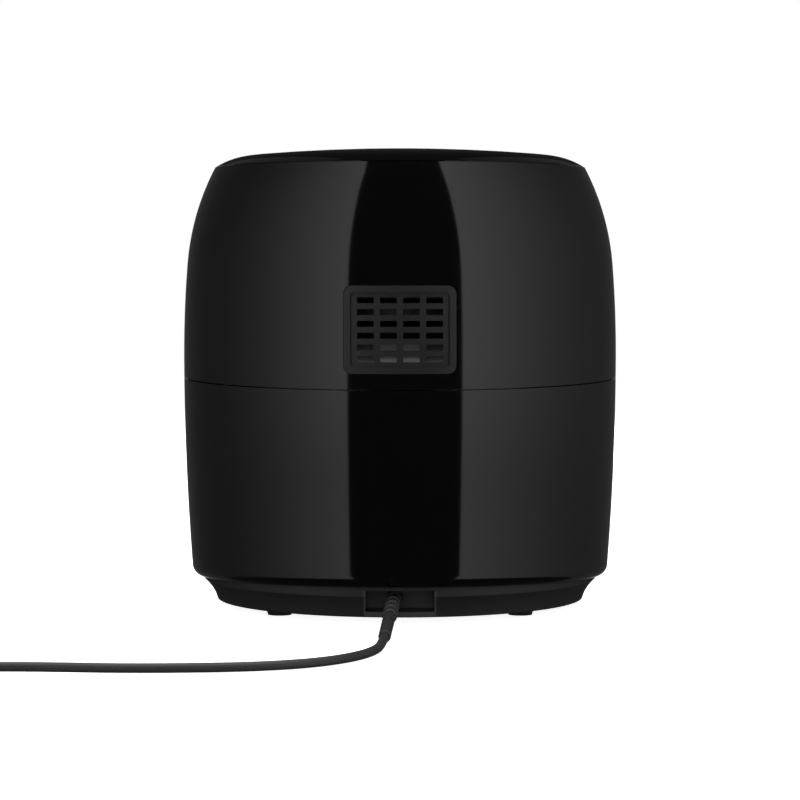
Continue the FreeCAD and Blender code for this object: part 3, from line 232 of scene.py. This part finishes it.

# Exhaust duct: the same plastic with light and shade painted into its colour: a painted pool of light on its
# floor, brightest in the middle, painted shade darker to the sides and a nearly black painted shade higher up.
DUCT_PAINTED_LIGHT = (0.2, 0.2, 0.205)
DUCT_SIDE_SHADE = (0.055, 0.055, 0.057)
DUCT_PAINTED_SHADE = (0.004, 0.004, 0.004)
DUCT_SHADE_LOW, DUCT_SHADE_HIGH = 0.1905, 0.1945
DUCT_SHADE_WAVER = 0.002
LIT_HALF, SIDE_SHADE_HALF = 0.015, 0.019
duct_plastic = Finish("duct_plastic", DUCT_PAINTED_LIGHT, 0.6)
duct_x = duct_plastic.math("ABSOLUTE", duct_plastic.axis("X"), 0.0)
duct_z = duct_plastic.axis("Z")
duct_noise = duct_plastic.noise(120, 3)
# Painted light and shade: pale in the middle of the floor, darker to the sides and nearly black above, with a
# noisy edge.
side_shade = duct_plastic.ramp(duct_x, LIT_HALF, SIDE_SHADE_HALF)
shade_above = duct_plastic.ramp(duct_z + DUCT_SHADE_WAVER * duct_noise, DUCT_SHADE_LOW, DUCT_SHADE_HIGH)
duct_plastic.mottle(DUCT_PAINTED_LIGHT, DUCT_SIDE_SHADE, side_shade)
duct_plastic.mottle(duct_plastic.last, DUCT_PAINTED_SHADE, shade_above)
duct_plastic.feed("Roughness", 0.55 + 0.1 * duct_noise)
dress(duct_plastic, "exhaust_duct")

# Chamber, brackets, motor and fasteners: rolled steel with a fine brushed grain. The heater is dark from heat,
# and its shield wears the same dark steel as painted shade; the fan is cast aluminium and the heater's
# terminals are ceramic.
STEEL = (0.52, 0.52, 0.53)
HEATED_AND_SHADED_STEEL = (0.19, 0.185, 0.18)
ALUMINIUM = (0.68, 0.68, 0.69)
CERAMIC = (0.78, 0.76, 0.71)


def brushed_metal(name, color, roughness, stretch):
    """Metal with fine scratches drawn along one direction."""
    finish = Finish(name, color, roughness, Metallic=1.0)
    scratch = finish.noise(900, 3, stretch)
    stain = finish.noise(22)
    finish.feed("Roughness", roughness - 0.08 + 0.12 * scratch + 0.06 * stain)
    finish.mottle([0.82 * c for c in color], color, stain)
    return finish.bump(scratch, 0.12, 0.00006)


steel = brushed_metal("steel", STEEL, 0.34, (1, 1, 0.06))
dress(
    steel, "chamber_liner", "motor_bracket", "liner_spacers", "heater_clips", "motor",
    "motor_shaft", "fan_nut", "rail_screws", "drawer_screws", "button_spring", "thermal_fuse",
    "thermostat_bulb", "basket_bracket",
)
heater_steel = brushed_metal("heater_steel", HEATED_AND_SHADED_STEEL, 0.5, (1, 1, 1))
# The heating element is dark from heat; on the heat shield the same dark steel is painted shade behind the
# grille.
dress(heater_steel, "heating_element", "heat_shield")
cast_aluminium = brushed_metal("cast_aluminium", ALUMINIUM, 0.42, (1, 1, 1))
dress(cast_aluminium, "convection_fan")
terminal_ceramic = grained_plastic("terminal_ceramic", CERAMIC, 0.6, 900, 0.0002)
dress(terminal_ceramic, "heater_terminals")

# Drawer pan and basket: pressed steel with a dark non-stick coat, a little uneven in colour and with the
# fine orange-peel of a sprayed finish.
NONSTICK = (0.03, 0.03, 0.031)
nonstick = grained_plastic("nonstick", NONSTICK, 0.42, 1200, 0.0001)
dress(nonstick, "drawer_pan", "basket")

# Release button, its clear guard and the lamps: small mouldings snapped into the handle and the panel. The
# steel spring under the button gets its own copy of its mesh.
BUTTON_GREY = (0.17, 0.17, 0.175)
GUARD_CLEAR = (0.8, 0.82, 0.83)
LAMP_RED = (0.62, 0.1, 0.04)
button_plastic = grained_plastic("button_plastic", BUTTON_GREY, 0.35, 2400, 0.0001)
dress(button_plastic, "release_button")
guard_plastic = Finish("guard_plastic", GUARD_CLEAR, 0.08, Transmission_Weight=0.9, IOR=1.49)
guard_plastic.feed("Roughness", 0.05 + 0.06 * guard_plastic.noise(300))
dress(guard_plastic, "button_guard")
SPRING_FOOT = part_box("button_spring")[0]
SPRING_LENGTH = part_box("button_spring")[1][2] - SPRING_FOOT[2]
BUTTON_TRAVEL = next(joint["range_m"][1] for joint in frame["joints"] if joint["name"] == "button_press")
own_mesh(nodes["button_spring"], "button_press", (0, 0, 1), SPRING_FOOT, 1 - BUTTON_TRAVEL / SPRING_LENGTH)
lamp_plastic = Finish("lamp_plastic", LAMP_RED, 0.2)
lamp_plastic.feed("Roughness", 0.15 + 0.1 * lamp_plastic.noise(400))
dress(lamp_plastic, "indicator_lamps")

# Printed marks: pale pad-printed ticks and plain numbers round both dials, and a pointer on each grip. They
# lie a hair above the plastic, and the pointers turn with the dials.
PRINT_WHITE = (0.78, 0.78, 0.76)
print_ink = grained_plastic("print_ink", PRINT_WHITE, 0.6, 1400, 0.00002)
PANEL_TILT = math.radians(-6)
PANEL_FRONT = 0.1528
PANEL_MIDDLE = 0.228
PANEL_PLACE = Matrix.Translation((0, AXIS_Y - PANEL_FRONT, PANEL_MIDDLE))
PANEL_PLACE = PANEL_PLACE @ Matrix.Rotation(PANEL_TILT, 4, "X") @ Matrix.Rotation(math.pi / 2, 4, "X")
DIAL_SPREAD = 0.022
DIAL_TOP = 0.0135
INK_LIFT = 0.00005
TICK_SIZE = (0.0005, 0.0014)
TICK_RADIUS = 0.0206
NUMBER_RADIUS = 0.0236
NUMBER_SIZE = 0.0034
POINTER_SIZE = (0.0012, 0.009)
POINTER_RADIUS = 0.0105


def sheet(name, width, height, x=0.0, y=0.0):
    """Flat rectangle in the XY plane."""
    mesh = bpy.data.meshes.new(name)
    corners = [(-1, -1), (1, -1), (1, 1), (-1, 1)]
    mesh.from_pydata([(x + a * width / 2, y + b * height / 2, 0) for a, b in corners], [], [(0, 1, 2, 3)])
    return mesh


def settle(name, mesh, matrix, body, finish):
    """Bake a placement into a mesh and let it ride on a body."""
    mesh.transform(matrix)
    made = bpy.data.objects.new(name, mesh)
    bpy.context.scene.collection.objects.link(made)
    made.data.materials.clear()
    made.data.materials.append(finish.material)
    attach(made, body)
    return made


def row_tree():
    """Geometry Nodes group that repeats a tool along a step with a turn from each one to the next."""
    tree = bpy.data.node_groups.new("row", "GeometryNodeTree")
    face = tree.interface
    face.new_socket("Tool", in_out="INPUT", socket_type="NodeSocketObject")
    face.new_socket("Count", in_out="INPUT", socket_type="NodeSocketInt")
    face.new_socket("Step", in_out="INPUT", socket_type="NodeSocketVector")
    face.new_socket("Turn", in_out="INPUT", socket_type="NodeSocketVector")
    face.new_socket("Material", in_out="INPUT", socket_type="NodeSocketMaterial")
    face.new_socket("Geometry", in_out="OUTPUT", socket_type="NodeSocketGeometry")
    add = tree.nodes.new
    given, line, index = add("NodeGroupInput"), add("GeometryNodeMeshLine"), add("GeometryNodeInputIndex")
    tool, turn = add("GeometryNodeObjectInfo"), add("ShaderNodeVectorMath")
    copies, whole = add("GeometryNodeInstanceOnPoints"), add("GeometryNodeRealizeInstances")
    paint, result = add("GeometryNodeSetMaterial"), add("NodeGroupOutput")
    turn.operation = "SCALE"
    join = tree.links.new
    join(given.outputs["Count"], line.inputs["Count"])
    join(given.outputs["Step"], line.inputs["Offset"])
    join(given.outputs["Tool"], tool.inputs["Object"])
    join(given.outputs["Turn"], turn.inputs[0])
    join(index.outputs[0], turn.inputs["Scale"])
    join(line.outputs["Mesh"], copies.inputs["Points"])
    join(tool.outputs["Geometry"], copies.inputs["Instance"])
    join(turn.outputs["Vector"], copies.inputs["Rotation"])
    join(copies.outputs["Instances"], whole.inputs["Geometry"])
    join(whole.outputs["Geometry"], paint.inputs["Geometry"])
    join(given.outputs["Material"], paint.inputs["Material"])
    join(paint.outputs["Geometry"], result.inputs["Geometry"])
    return tree


ROW = row_tree()


def repeated(name, tool_mesh, count, step, turn, finish):
    """Mesh of a tool repeated by the row group."""
    tool = bpy.data.objects.new(name + "_tool", tool_mesh)
    carrier = bpy.data.objects.new(name, bpy.data.meshes.new(name))
    for thing in (tool, carrier):
        bpy.context.scene.collection.objects.link(thing)
    modifier = carrier.modifiers.new("row", "NODES")
    modifier.node_group = ROW
    values = {"Tool": tool, "Count": count, "Step": step, "Turn": turn, "Material": finish.material}
    for item in ROW.interface.items_tree:
        if item.in_out == "INPUT":
            modifier[item.identifier] = values[item.name]
    carrier.update_tag()
    graph = bpy.context.evaluated_depsgraph_get()
    mesh = bpy.data.meshes.new_from_object(carrier.evaluated_get(graph))
    bpy.data.objects.remove(carrier)
    bpy.data.objects.remove(tool)
    return mesh


def number_mesh(text):
    """Flat mesh of a plain number, centred on its middle."""
    curve = bpy.data.curves.new("number", "FONT")
    curve.body = text
    curve.size = NUMBER_SIZE
    curve.align_x = "CENTER"
    curve.align_y = "CENTER"
    carrier = bpy.data.objects.new("number", curve)
    bpy.context.scene.collection.objects.link(carrier)
    graph = bpy.context.evaluated_depsgraph_get()
    mesh = bpy.data.meshes.new_from_object(carrier.evaluated_get(graph))
    bpy.data.objects.remove(carrier)
    return mesh


DIALS = [
    ("timer", -1, 300, 13, ["15", "30", "45", "60"]),
    ("temperature", 1, 270, 10, ["80", "120", "160", "200"]),
]
for dial_name, up, sweep, ticks, numbers in DIALS:
    middle = PANEL_PLACE @ Matrix.Translation((0, DIAL_SPREAD * up, INK_LIFT))
    tick = sheet("tick", *TICK_SIZE, 0, TICK_RADIUS)
    turn = (0, 0, -math.radians(sweep) / (ticks - 1))
    ring = repeated(dial_name + "_ticks", tick, ticks, (0, 0, 0), turn, print_ink)
    settle(dial_name + "_ticks", ring, middle, "housing", print_ink)
    for place, number in enumerate(numbers, 1):
        angle = math.radians(sweep) * place / len(numbers)
        shift = Vector((math.sin(angle) * NUMBER_RADIUS, math.cos(angle) * NUMBER_RADIUS, 0))
        spot = middle @ Matrix.Translation(shift)
        settle(dial_name + "_number", number_mesh(number), spot, "housing", print_ink)
    pointer = sheet("pointer", *POINTER_SIZE, 0, POINTER_RADIUS)
    lifted = middle @ Matrix.Translation((0, 0, DIAL_TOP))
    settle(dial_name + "_pointer", pointer, lifted, dial_name + "_dial", print_ink)

# Mains lead: a round black cord of 6 mm that comes out of a ribbed guard and a smooth sleeve, runs along
# the worktop and ends in a neat two-layer coil with a tie and a plug.
LEAD_DIAMETER = 0.006
LEAD_ROUTE = [
    (0.010, 0.232, 0.0047), (0.0116, 0.262, 0.0034), (0.016, 0.292, 0.0032), (0.029, 0.322, 0.0032),
    (0.052, 0.348, 0.0032), (0.086, 0.365, 0.0033), (0.128, 0.372, 0.0034), (0.172, 0.374, 0.0036),
    (0.212, 0.3705, 0.0039), (0.250, 0.372, 0.0042), (0.290, 0.372, 0.0042),
]
COIL_RADIUS = 0.0365
COIL_STEP = 0.0065
COIL_TAIL = 0.034
COIL_HALVES = [(0, 0), (-1, 0), (-2, 1), (-1, 0)]
POINTS_PER_HALF = 8
OUTSET = 1 / math.cos(math.pi / POINTS_PER_HALF / 2)


def coil_points(start):
    """Control points of the coil's half turns, set out so that the smooth line has the coil's radius."""
    points = []
    at = Vector(start)
    heading = 1
    for step, climb in COIL_HALVES:
        bend = COIL_RADIUS + step * COIL_STEP / 2
        middle = at - Vector((0, heading * bend, 0))
        for number in range(POINTS_PER_HALF):
            angle = math.pi * (number + 0.5) / POINTS_PER_HALF
            lift = climb * COIL_STEP * (0.5 - 0.5 * math.cos(angle))
            points.append(middle + Vector((
                heading * bend * OUTSET * math.sin(angle), heading * bend * OUTSET * math.cos(angle), lift
            )))
        at = middle - Vector((0, heading * bend, -climb * COIL_STEP))
        heading = -heading
    return points + [at + Vector((COIL_TAIL / 2, 0, 0)), at + Vector((COIL_TAIL, 0, 0))]


route = [Vector(point) for point in LEAD_ROUTE]
route = [point + Vector((0, AXIS_Y, 0)) for point in route[:-1] + coil_points(route[-1])]
lead_curve = bpy.data.curves.new("mains_cord", "CURVE")
lead_curve.dimensions = "3D"
lead_curve.bevel_depth = LEAD_DIAMETER / 2
lead_curve.bevel_resolution = 6
lead_curve.resolution_u = 8
lead_curve.use_fill_caps = True
spline = lead_curve.splines.new("NURBS")
spline.points.add(len(route) - 1)
for point, place in zip(spline.points, route):
    point.co = (*place, 1)
spline.order_u = 3
spline.use_endpoint_u = True
mains_cord = bpy.data.objects.new("mains_cord", lead_curve)
bpy.context.scene.collection.objects.link(mains_cord)
CORD_BLACK = (0.022, 0.022, 0.0228)
cord_rubber = grained_plastic("cord_rubber", CORD_BLACK, 0.5, 1600, 0.00015)
lead_curve.materials.append(cord_rubber.material)
dress(cord_rubber, "plug", "lead_tie")
for piece in (mains_cord, nodes["plug"], nodes["lead_tie"]):
    piece.visible_glossy = False
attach(mains_cord, "housing")
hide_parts("mains_lead", "lead_coil")

# Strain relief: a moulded guard of rounded ribs on a slim core, then a smooth sleeve with four dimples, drawn
# as thin near-black discs of painted shade. Both follow the straight line from the recess down to the worktop.
GUARD_SEAT = (0.0033, 0.106, 0.0185)
GUARD_START = Vector(GUARD_SEAT) + Vector((0, AXIS_Y, 0))
SLEEVE_END = route[0]
GUARD_LINE = SLEEVE_END - GUARD_START
GUARD_TURN = Vector((0, 0, 1)).rotation_difference(GUARD_LINE).to_matrix().to_4x4()
GUARD_PLACE = Matrix.Translation(GUARD_START) @ GUARD_TURN
RIB_COUNT = 5
RIB_PITCH = 0.0136
RIB_HEIGHT = 0.0076
RIB_RADIUS = 0.005
CORE_RADIUS = 0.0031
COLLAR_LENGTH = 0.004
COLLAR_RADIUS = 0.006
SLEEVE_RADIUS = 0.0041
DIMPLE_RADIUS = 0.0011
DIMPLE_STRETCH = 3.0
DIMPLE_PAINTED_SHADE = (0.002, 0.002, 0.002)
DIMPLE_PLACE = 0.088
DIMPLE_COUNT = 4
DIMPLE_HEIGHT = 0.0002
MOULD_EDGE = 0.0008
CORE_EDGE = 0.0003
RIB_EDGE = 0.0012
LATHE_SIDES = 40
ROUND_STEPS = 6


def rounded_outline(low, high, radius, edge):
    """Outline of a turned piece from its axis out and back, with both outer edges rounded."""
    outline = [(0, low)]
    for step in range(ROUND_STEPS + 1):
        angle = math.pi / 2 * step / ROUND_STEPS
        outline.append((radius - edge + edge * math.sin(angle), low + edge - edge * math.cos(angle)))
    outline += [(r, high - (z - low)) for r, z in reversed(outline)]
    return outline


def lathe(name, outline):
    """Smooth mesh of an outline of radius and height turned about Z."""
    mesh = bpy.data.meshes.new(name)
    points = []
    for radius, height in outline:
        for side in range(LATHE_SIDES):
            angle = 2 * math.pi * side / LATHE_SIDES
            points.append((radius * math.cos(angle), radius * math.sin(angle), height))
    faces = []
    for ring in range(len(outline) - 1):
        for side in range(LATHE_SIDES):
            after = (side + 1) % LATHE_SIDES
            low, high = ring * LATHE_SIDES, (ring + 1) * LATHE_SIDES
            faces.append((low + side, low + after, high + after, high + side))
    mesh.from_pydata(points, [], faces)
    shape = bmesh.new()
    shape.from_mesh(mesh)
    bmesh.ops.remove_doubles(shape, verts=shape.verts, dist=1e-7)
    bmesh.ops.recalc_face_normals(shape, faces=shape.faces)
    shape.to_mesh(mesh)
    shape.free()
    mesh.shade_smooth()
    return mesh


def merged(name, meshes):
    """One mesh from several."""
    shape = bmesh.new()
    for mesh in meshes:
        shape.from_mesh(mesh)
    whole = bpy.data.meshes.new(name)
    shape.to_mesh(whole)
    shape.free()
    whole.shade_smooth()
    return whole


guard_end = COLLAR_LENGTH + RIB_PITCH * RIB_COUNT
collar = lathe("collar", rounded_outline(0, COLLAR_LENGTH, COLLAR_RADIUS, MOULD_EDGE))
core = lathe("core", rounded_outline(0, guard_end, CORE_RADIUS, CORE_EDGE))
rib = lathe("rib", rounded_outline(0, RIB_HEIGHT, RIB_RADIUS, RIB_EDGE))
rib.transform(Matrix.Translation((0, 0, COLLAR_LENGTH + (RIB_PITCH - RIB_HEIGHT) / 2)))
ribs = repeated("ribs", rib, RIB_COUNT, (0, 0, RIB_PITCH), (0, 0, 0), cord_rubber)
guard_mesh = merged("strain_guard", [collar, core, ribs])
strain_guard = settle("strain_guard", guard_mesh, GUARD_PLACE, "housing", cord_rubber)
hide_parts("cord_guard")
sleeve_outline = rounded_outline(guard_end, GUARD_LINE.length, SLEEVE_RADIUS, MOULD_EDGE)
lead_sleeve = settle("lead_sleeve", lathe("lead_sleeve", sleeve_outline), GUARD_PLACE, "housing", cord_rubber)
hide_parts("cord_sleeve")
dimple = lathe("dimple", rounded_outline(0, DIMPLE_HEIGHT, DIMPLE_RADIUS, DIMPLE_HEIGHT / 2))
dimple.transform(Matrix.Rotation(math.pi / 2, 4, "Y"))
dimple.transform(Matrix.Diagonal((1, 1, DIMPLE_STRETCH, 1)))
dimple.transform(Matrix.Translation((SLEEVE_RADIUS - DIMPLE_HEIGHT / 2, 0, DIMPLE_PLACE)))
dimple.transform(Matrix.Rotation(math.pi / 4, 4, "Z"))
# Painted shade: the dimples are thin discs standing a hair proud of the sleeve, coloured near-black in place of
# the shade in hollows.
dimple_shade = grained_plastic("dimple_shade", DIMPLE_PAINTED_SHADE, 0.7, 1500, 0.0001)
dimples = repeated("dimples", dimple, DIMPLE_COUNT, (0, 0, 0), (0, 0, 2 * math.pi / DIMPLE_COUNT), dimple_shade)
settle("sleeve_dimples", dimples, GUARD_PLACE, "housing", dimple_shade)

# Stage: a white floor with a soft contact shadow, two curved light curtains on either side of the camera
# with a dark room between them, and a low card opposite that gives the drawer's side a soft strip of light
# in its gloss. The curtains go on below the floor, so that gloss shows them down to the base.
FLOOR_HALF = 6.0
FLOOR_TOP = -0.0002
FLOOR_PALE = (0.92, 0.92, 0.92)
FLOOR_LIFT = 0.93
FLOOR_NEAR, FLOOR_FAR = 0.9, 2.0


def stage_mesh(name, points, faces):
    """A stage object from points and faces."""
    mesh = bpy.data.meshes.new(name)
    mesh.from_pydata(points, [], faces)
    made = bpy.data.objects.new(name, mesh)
    bpy.context.scene.collection.objects.link(made)
    return made


floor = stage_mesh("floor", [
    (-FLOOR_HALF, -FLOOR_HALF, FLOOR_TOP), (FLOOR_HALF, -FLOOR_HALF, FLOOR_TOP),
    (FLOOR_HALF, FLOOR_HALF, FLOOR_TOP), (-FLOOR_HALF, FLOOR_HALF, FLOOR_TOP),
], [(0, 1, 2, 3)])
floor.visible_glossy = False
floor_finish = Finish("floor_white", FLOOR_PALE, 0.9, Specular_IOR_Level=0.0, Emission_Strength=1.0)
seen = floor_finish.node("ShaderNodeLightPath", output="Is Camera Ray")
seen = seen + floor_finish.node("ShaderNodeLightPath", output="Is Transmission Ray")
away = floor_finish.vector("LENGTH", floor_finish.place, output="Value")
lift = floor_finish.ramp(away, FLOOR_NEAR, FLOOR_FAR, FLOOR_LIFT, 1.0)
floor_finish.feed("Emission Color", floor_finish.grey(seen * lift))
floor.data.materials.append(floor_finish.material)

CURTAIN_DISTANCE = 1.7
CURTAIN_HIGH = 2.6
CURTAIN_LOW = -1.1
CURTAIN_FAR = math.radians(165)
CURTAIN_STEPS = 48
CURTAIN_DIM = 0.06
SHADE_LOW, SHADE_HIGH = -0.12, 0.12
SHADE_SHARE = 0.72
CURTAINS = [(1, math.radians(26), 1.1, 3.0), (-1, math.radians(31), 1.2, 2.0)]
for side, near, strength, falloff in CURTAINS:
    points = []
    for step in range(CURTAIN_STEPS + 1):
        angle = near + (CURTAIN_FAR - near) * step / CURTAIN_STEPS
        x = side * CURTAIN_DISTANCE * math.sin(angle)
        y = AXIS_Y + CURTAIN_DISTANCE * math.cos(angle)
        points += [(x, y, CURTAIN_LOW), (x, y, CURTAIN_HIGH)]
    faces = [(2 * n, 2 * n + 1, 2 * n + 3, 2 * n + 2) for n in range(CURTAIN_STEPS)]
    curtain = stage_mesh("light_curtain", points, faces)
    curtain.visible_camera = False
    glow = Finish("curtain_glow", (0, 0, 0), 1.0, Specular_IOR_Level=0.0, Emission_Strength=1.0)
    towards_back = glow.axis("Y") - AXIS_Y
    fade = (towards_back + CURTAIN_DISTANCE) * (0.5 / CURTAIN_DISTANCE)
    shade = glow.ramp(glow.axis("Z"), SHADE_LOW, SHADE_HIGH, SHADE_SHARE, 1.0)
    power = glow.math("POWER", fade, falloff) * strength * shade + CURTAIN_DIM
    glow.feed("Emission Color", glow.grey(power))
    curtain.data.materials.append(glow.material)

CARD_HALF = 0.55
CARD_LOW, CARD_HIGH = -0.9, 0.33
CARD_GLOW = 0.9
card_y = AXIS_Y - CURTAIN_DISTANCE
card = stage_mesh("front_card", [
    (-CARD_HALF, card_y, CARD_LOW), (CARD_HALF, card_y, CARD_LOW),
    (CARD_HALF, card_y, CARD_HIGH), (-CARD_HALF, card_y, CARD_HIGH),
], [(0, 1, 2, 3)])
card.visible_camera = False
card_finish = Finish("card_glow", (0, 0, 0), 1.0, Specular_IOR_Level=0.0, Emission_Strength=1.0)
card_x = card_finish.math("ABSOLUTE", card_finish.axis("X"), 0.0)
card_fade = card_finish.ramp(card_x, 0.0, CARD_HALF, CARD_GLOW, 0.0)
card_finish.feed("Emission Color", card_finish.grey(card_fade))
card.data.materials.append(card_finish.material)

ROOM_DARK = (0.02, 0.02, 0.02, 1)
BACKDROP_WHITE = (1, 1, 1, 1)
world = bpy.data.worlds.new("studio")
bpy.context.scene.world = world
world.use_nodes = True
background = world.node_tree.nodes["Background"]
path = world.node_tree.nodes.new("ShaderNodeLightPath")
tint = world.node_tree.nodes.new("ShaderNodeMix")
tint.data_type = "RGBA"
tint.inputs[6].default_value = ROOM_DARK
tint.inputs[7].default_value = BACKDROP_WHITE
shown = world.node_tree.nodes.new("ShaderNodeMath")
world.node_tree.links.new(path.outputs["Is Camera Ray"], shown.inputs[0])
world.node_tree.links.new(path.outputs["Is Transmission Ray"], shown.inputs[1])
world.node_tree.links.new(shown.outputs[0], tint.inputs["Factor"])
world.node_tree.links.new(tint.outputs[2], background.inputs["Color"])


def area_lamp(name, size, energy, at, target):
    """Square lamp that faces a point and that the camera doesn't see."""
    lamp = bpy.data.objects.new(name, bpy.data.lights.new(name, "AREA"))
    bpy.context.scene.collection.objects.link(lamp)
    lamp.data.size = size
    lamp.data.energy = energy
    lamp.location = at
    lamp.rotation_euler = (Vector(target) - Vector(at)).to_track_quat("-Z", "Y").to_euler()
    lamp.visible_camera = False
    return lamp


BODY_MIDDLE = (0, AXIS_Y, 0.15)
TOP_LAMP_FOOT = (0, 0.2, 0)
TOP_LAMP_AT = (0, 0.2, 2.6)
FRONT_LAMP_AT = (-1.1, AXIS_Y - 1.9, 0.9)
FILL_LAMP_AT = (0, AXIS_Y + 2.0, 0.4)
area_lamp("top_lamp", 2.4, 60, TOP_LAMP_AT, TOP_LAMP_FOOT)
front_lamp = area_lamp("front_lamp", 1.2, 110, FRONT_LAMP_AT, BODY_MIDDLE)
fill_lamp = area_lamp("fill_lamp", 1.0, 14, FILL_LAMP_AT, BODY_MIDDLE)
for lamp in (front_lamp, fill_lamp):
    lamp.visible_glossy = False

# Camera: straight behind the appliance, a little above its middle. Its lens and pitch put the body at the
# height and size that it has in the photograph.
EYE_HEIGHT = 0.237
EYE_DISTANCE = 2.1
HORIZON_ROW = 275
IMAGE_SIDE = 800
FOCAL_PIXELS = 2919
SENSOR = 36.0
camera = bpy.data.objects.new("camera", bpy.data.cameras.new("camera"))
bpy.context.scene.collection.objects.link(camera)
camera.data.sensor_width = SENSOR
camera.data.lens = SENSOR * FOCAL_PIXELS / IMAGE_SIDE
pitch = math.atan((IMAGE_SIDE / 2 - HORIZON_ROW) / FOCAL_PIXELS)
camera.location = (0, AXIS_Y + EYE_DISTANCE, EYE_HEIGHT)
camera.rotation_euler = (math.pi / 2 - pitch, 0, math.pi)
bpy.context.scene.camera = camera
bpy.context.scene.view_settings.view_transform = "Standard"
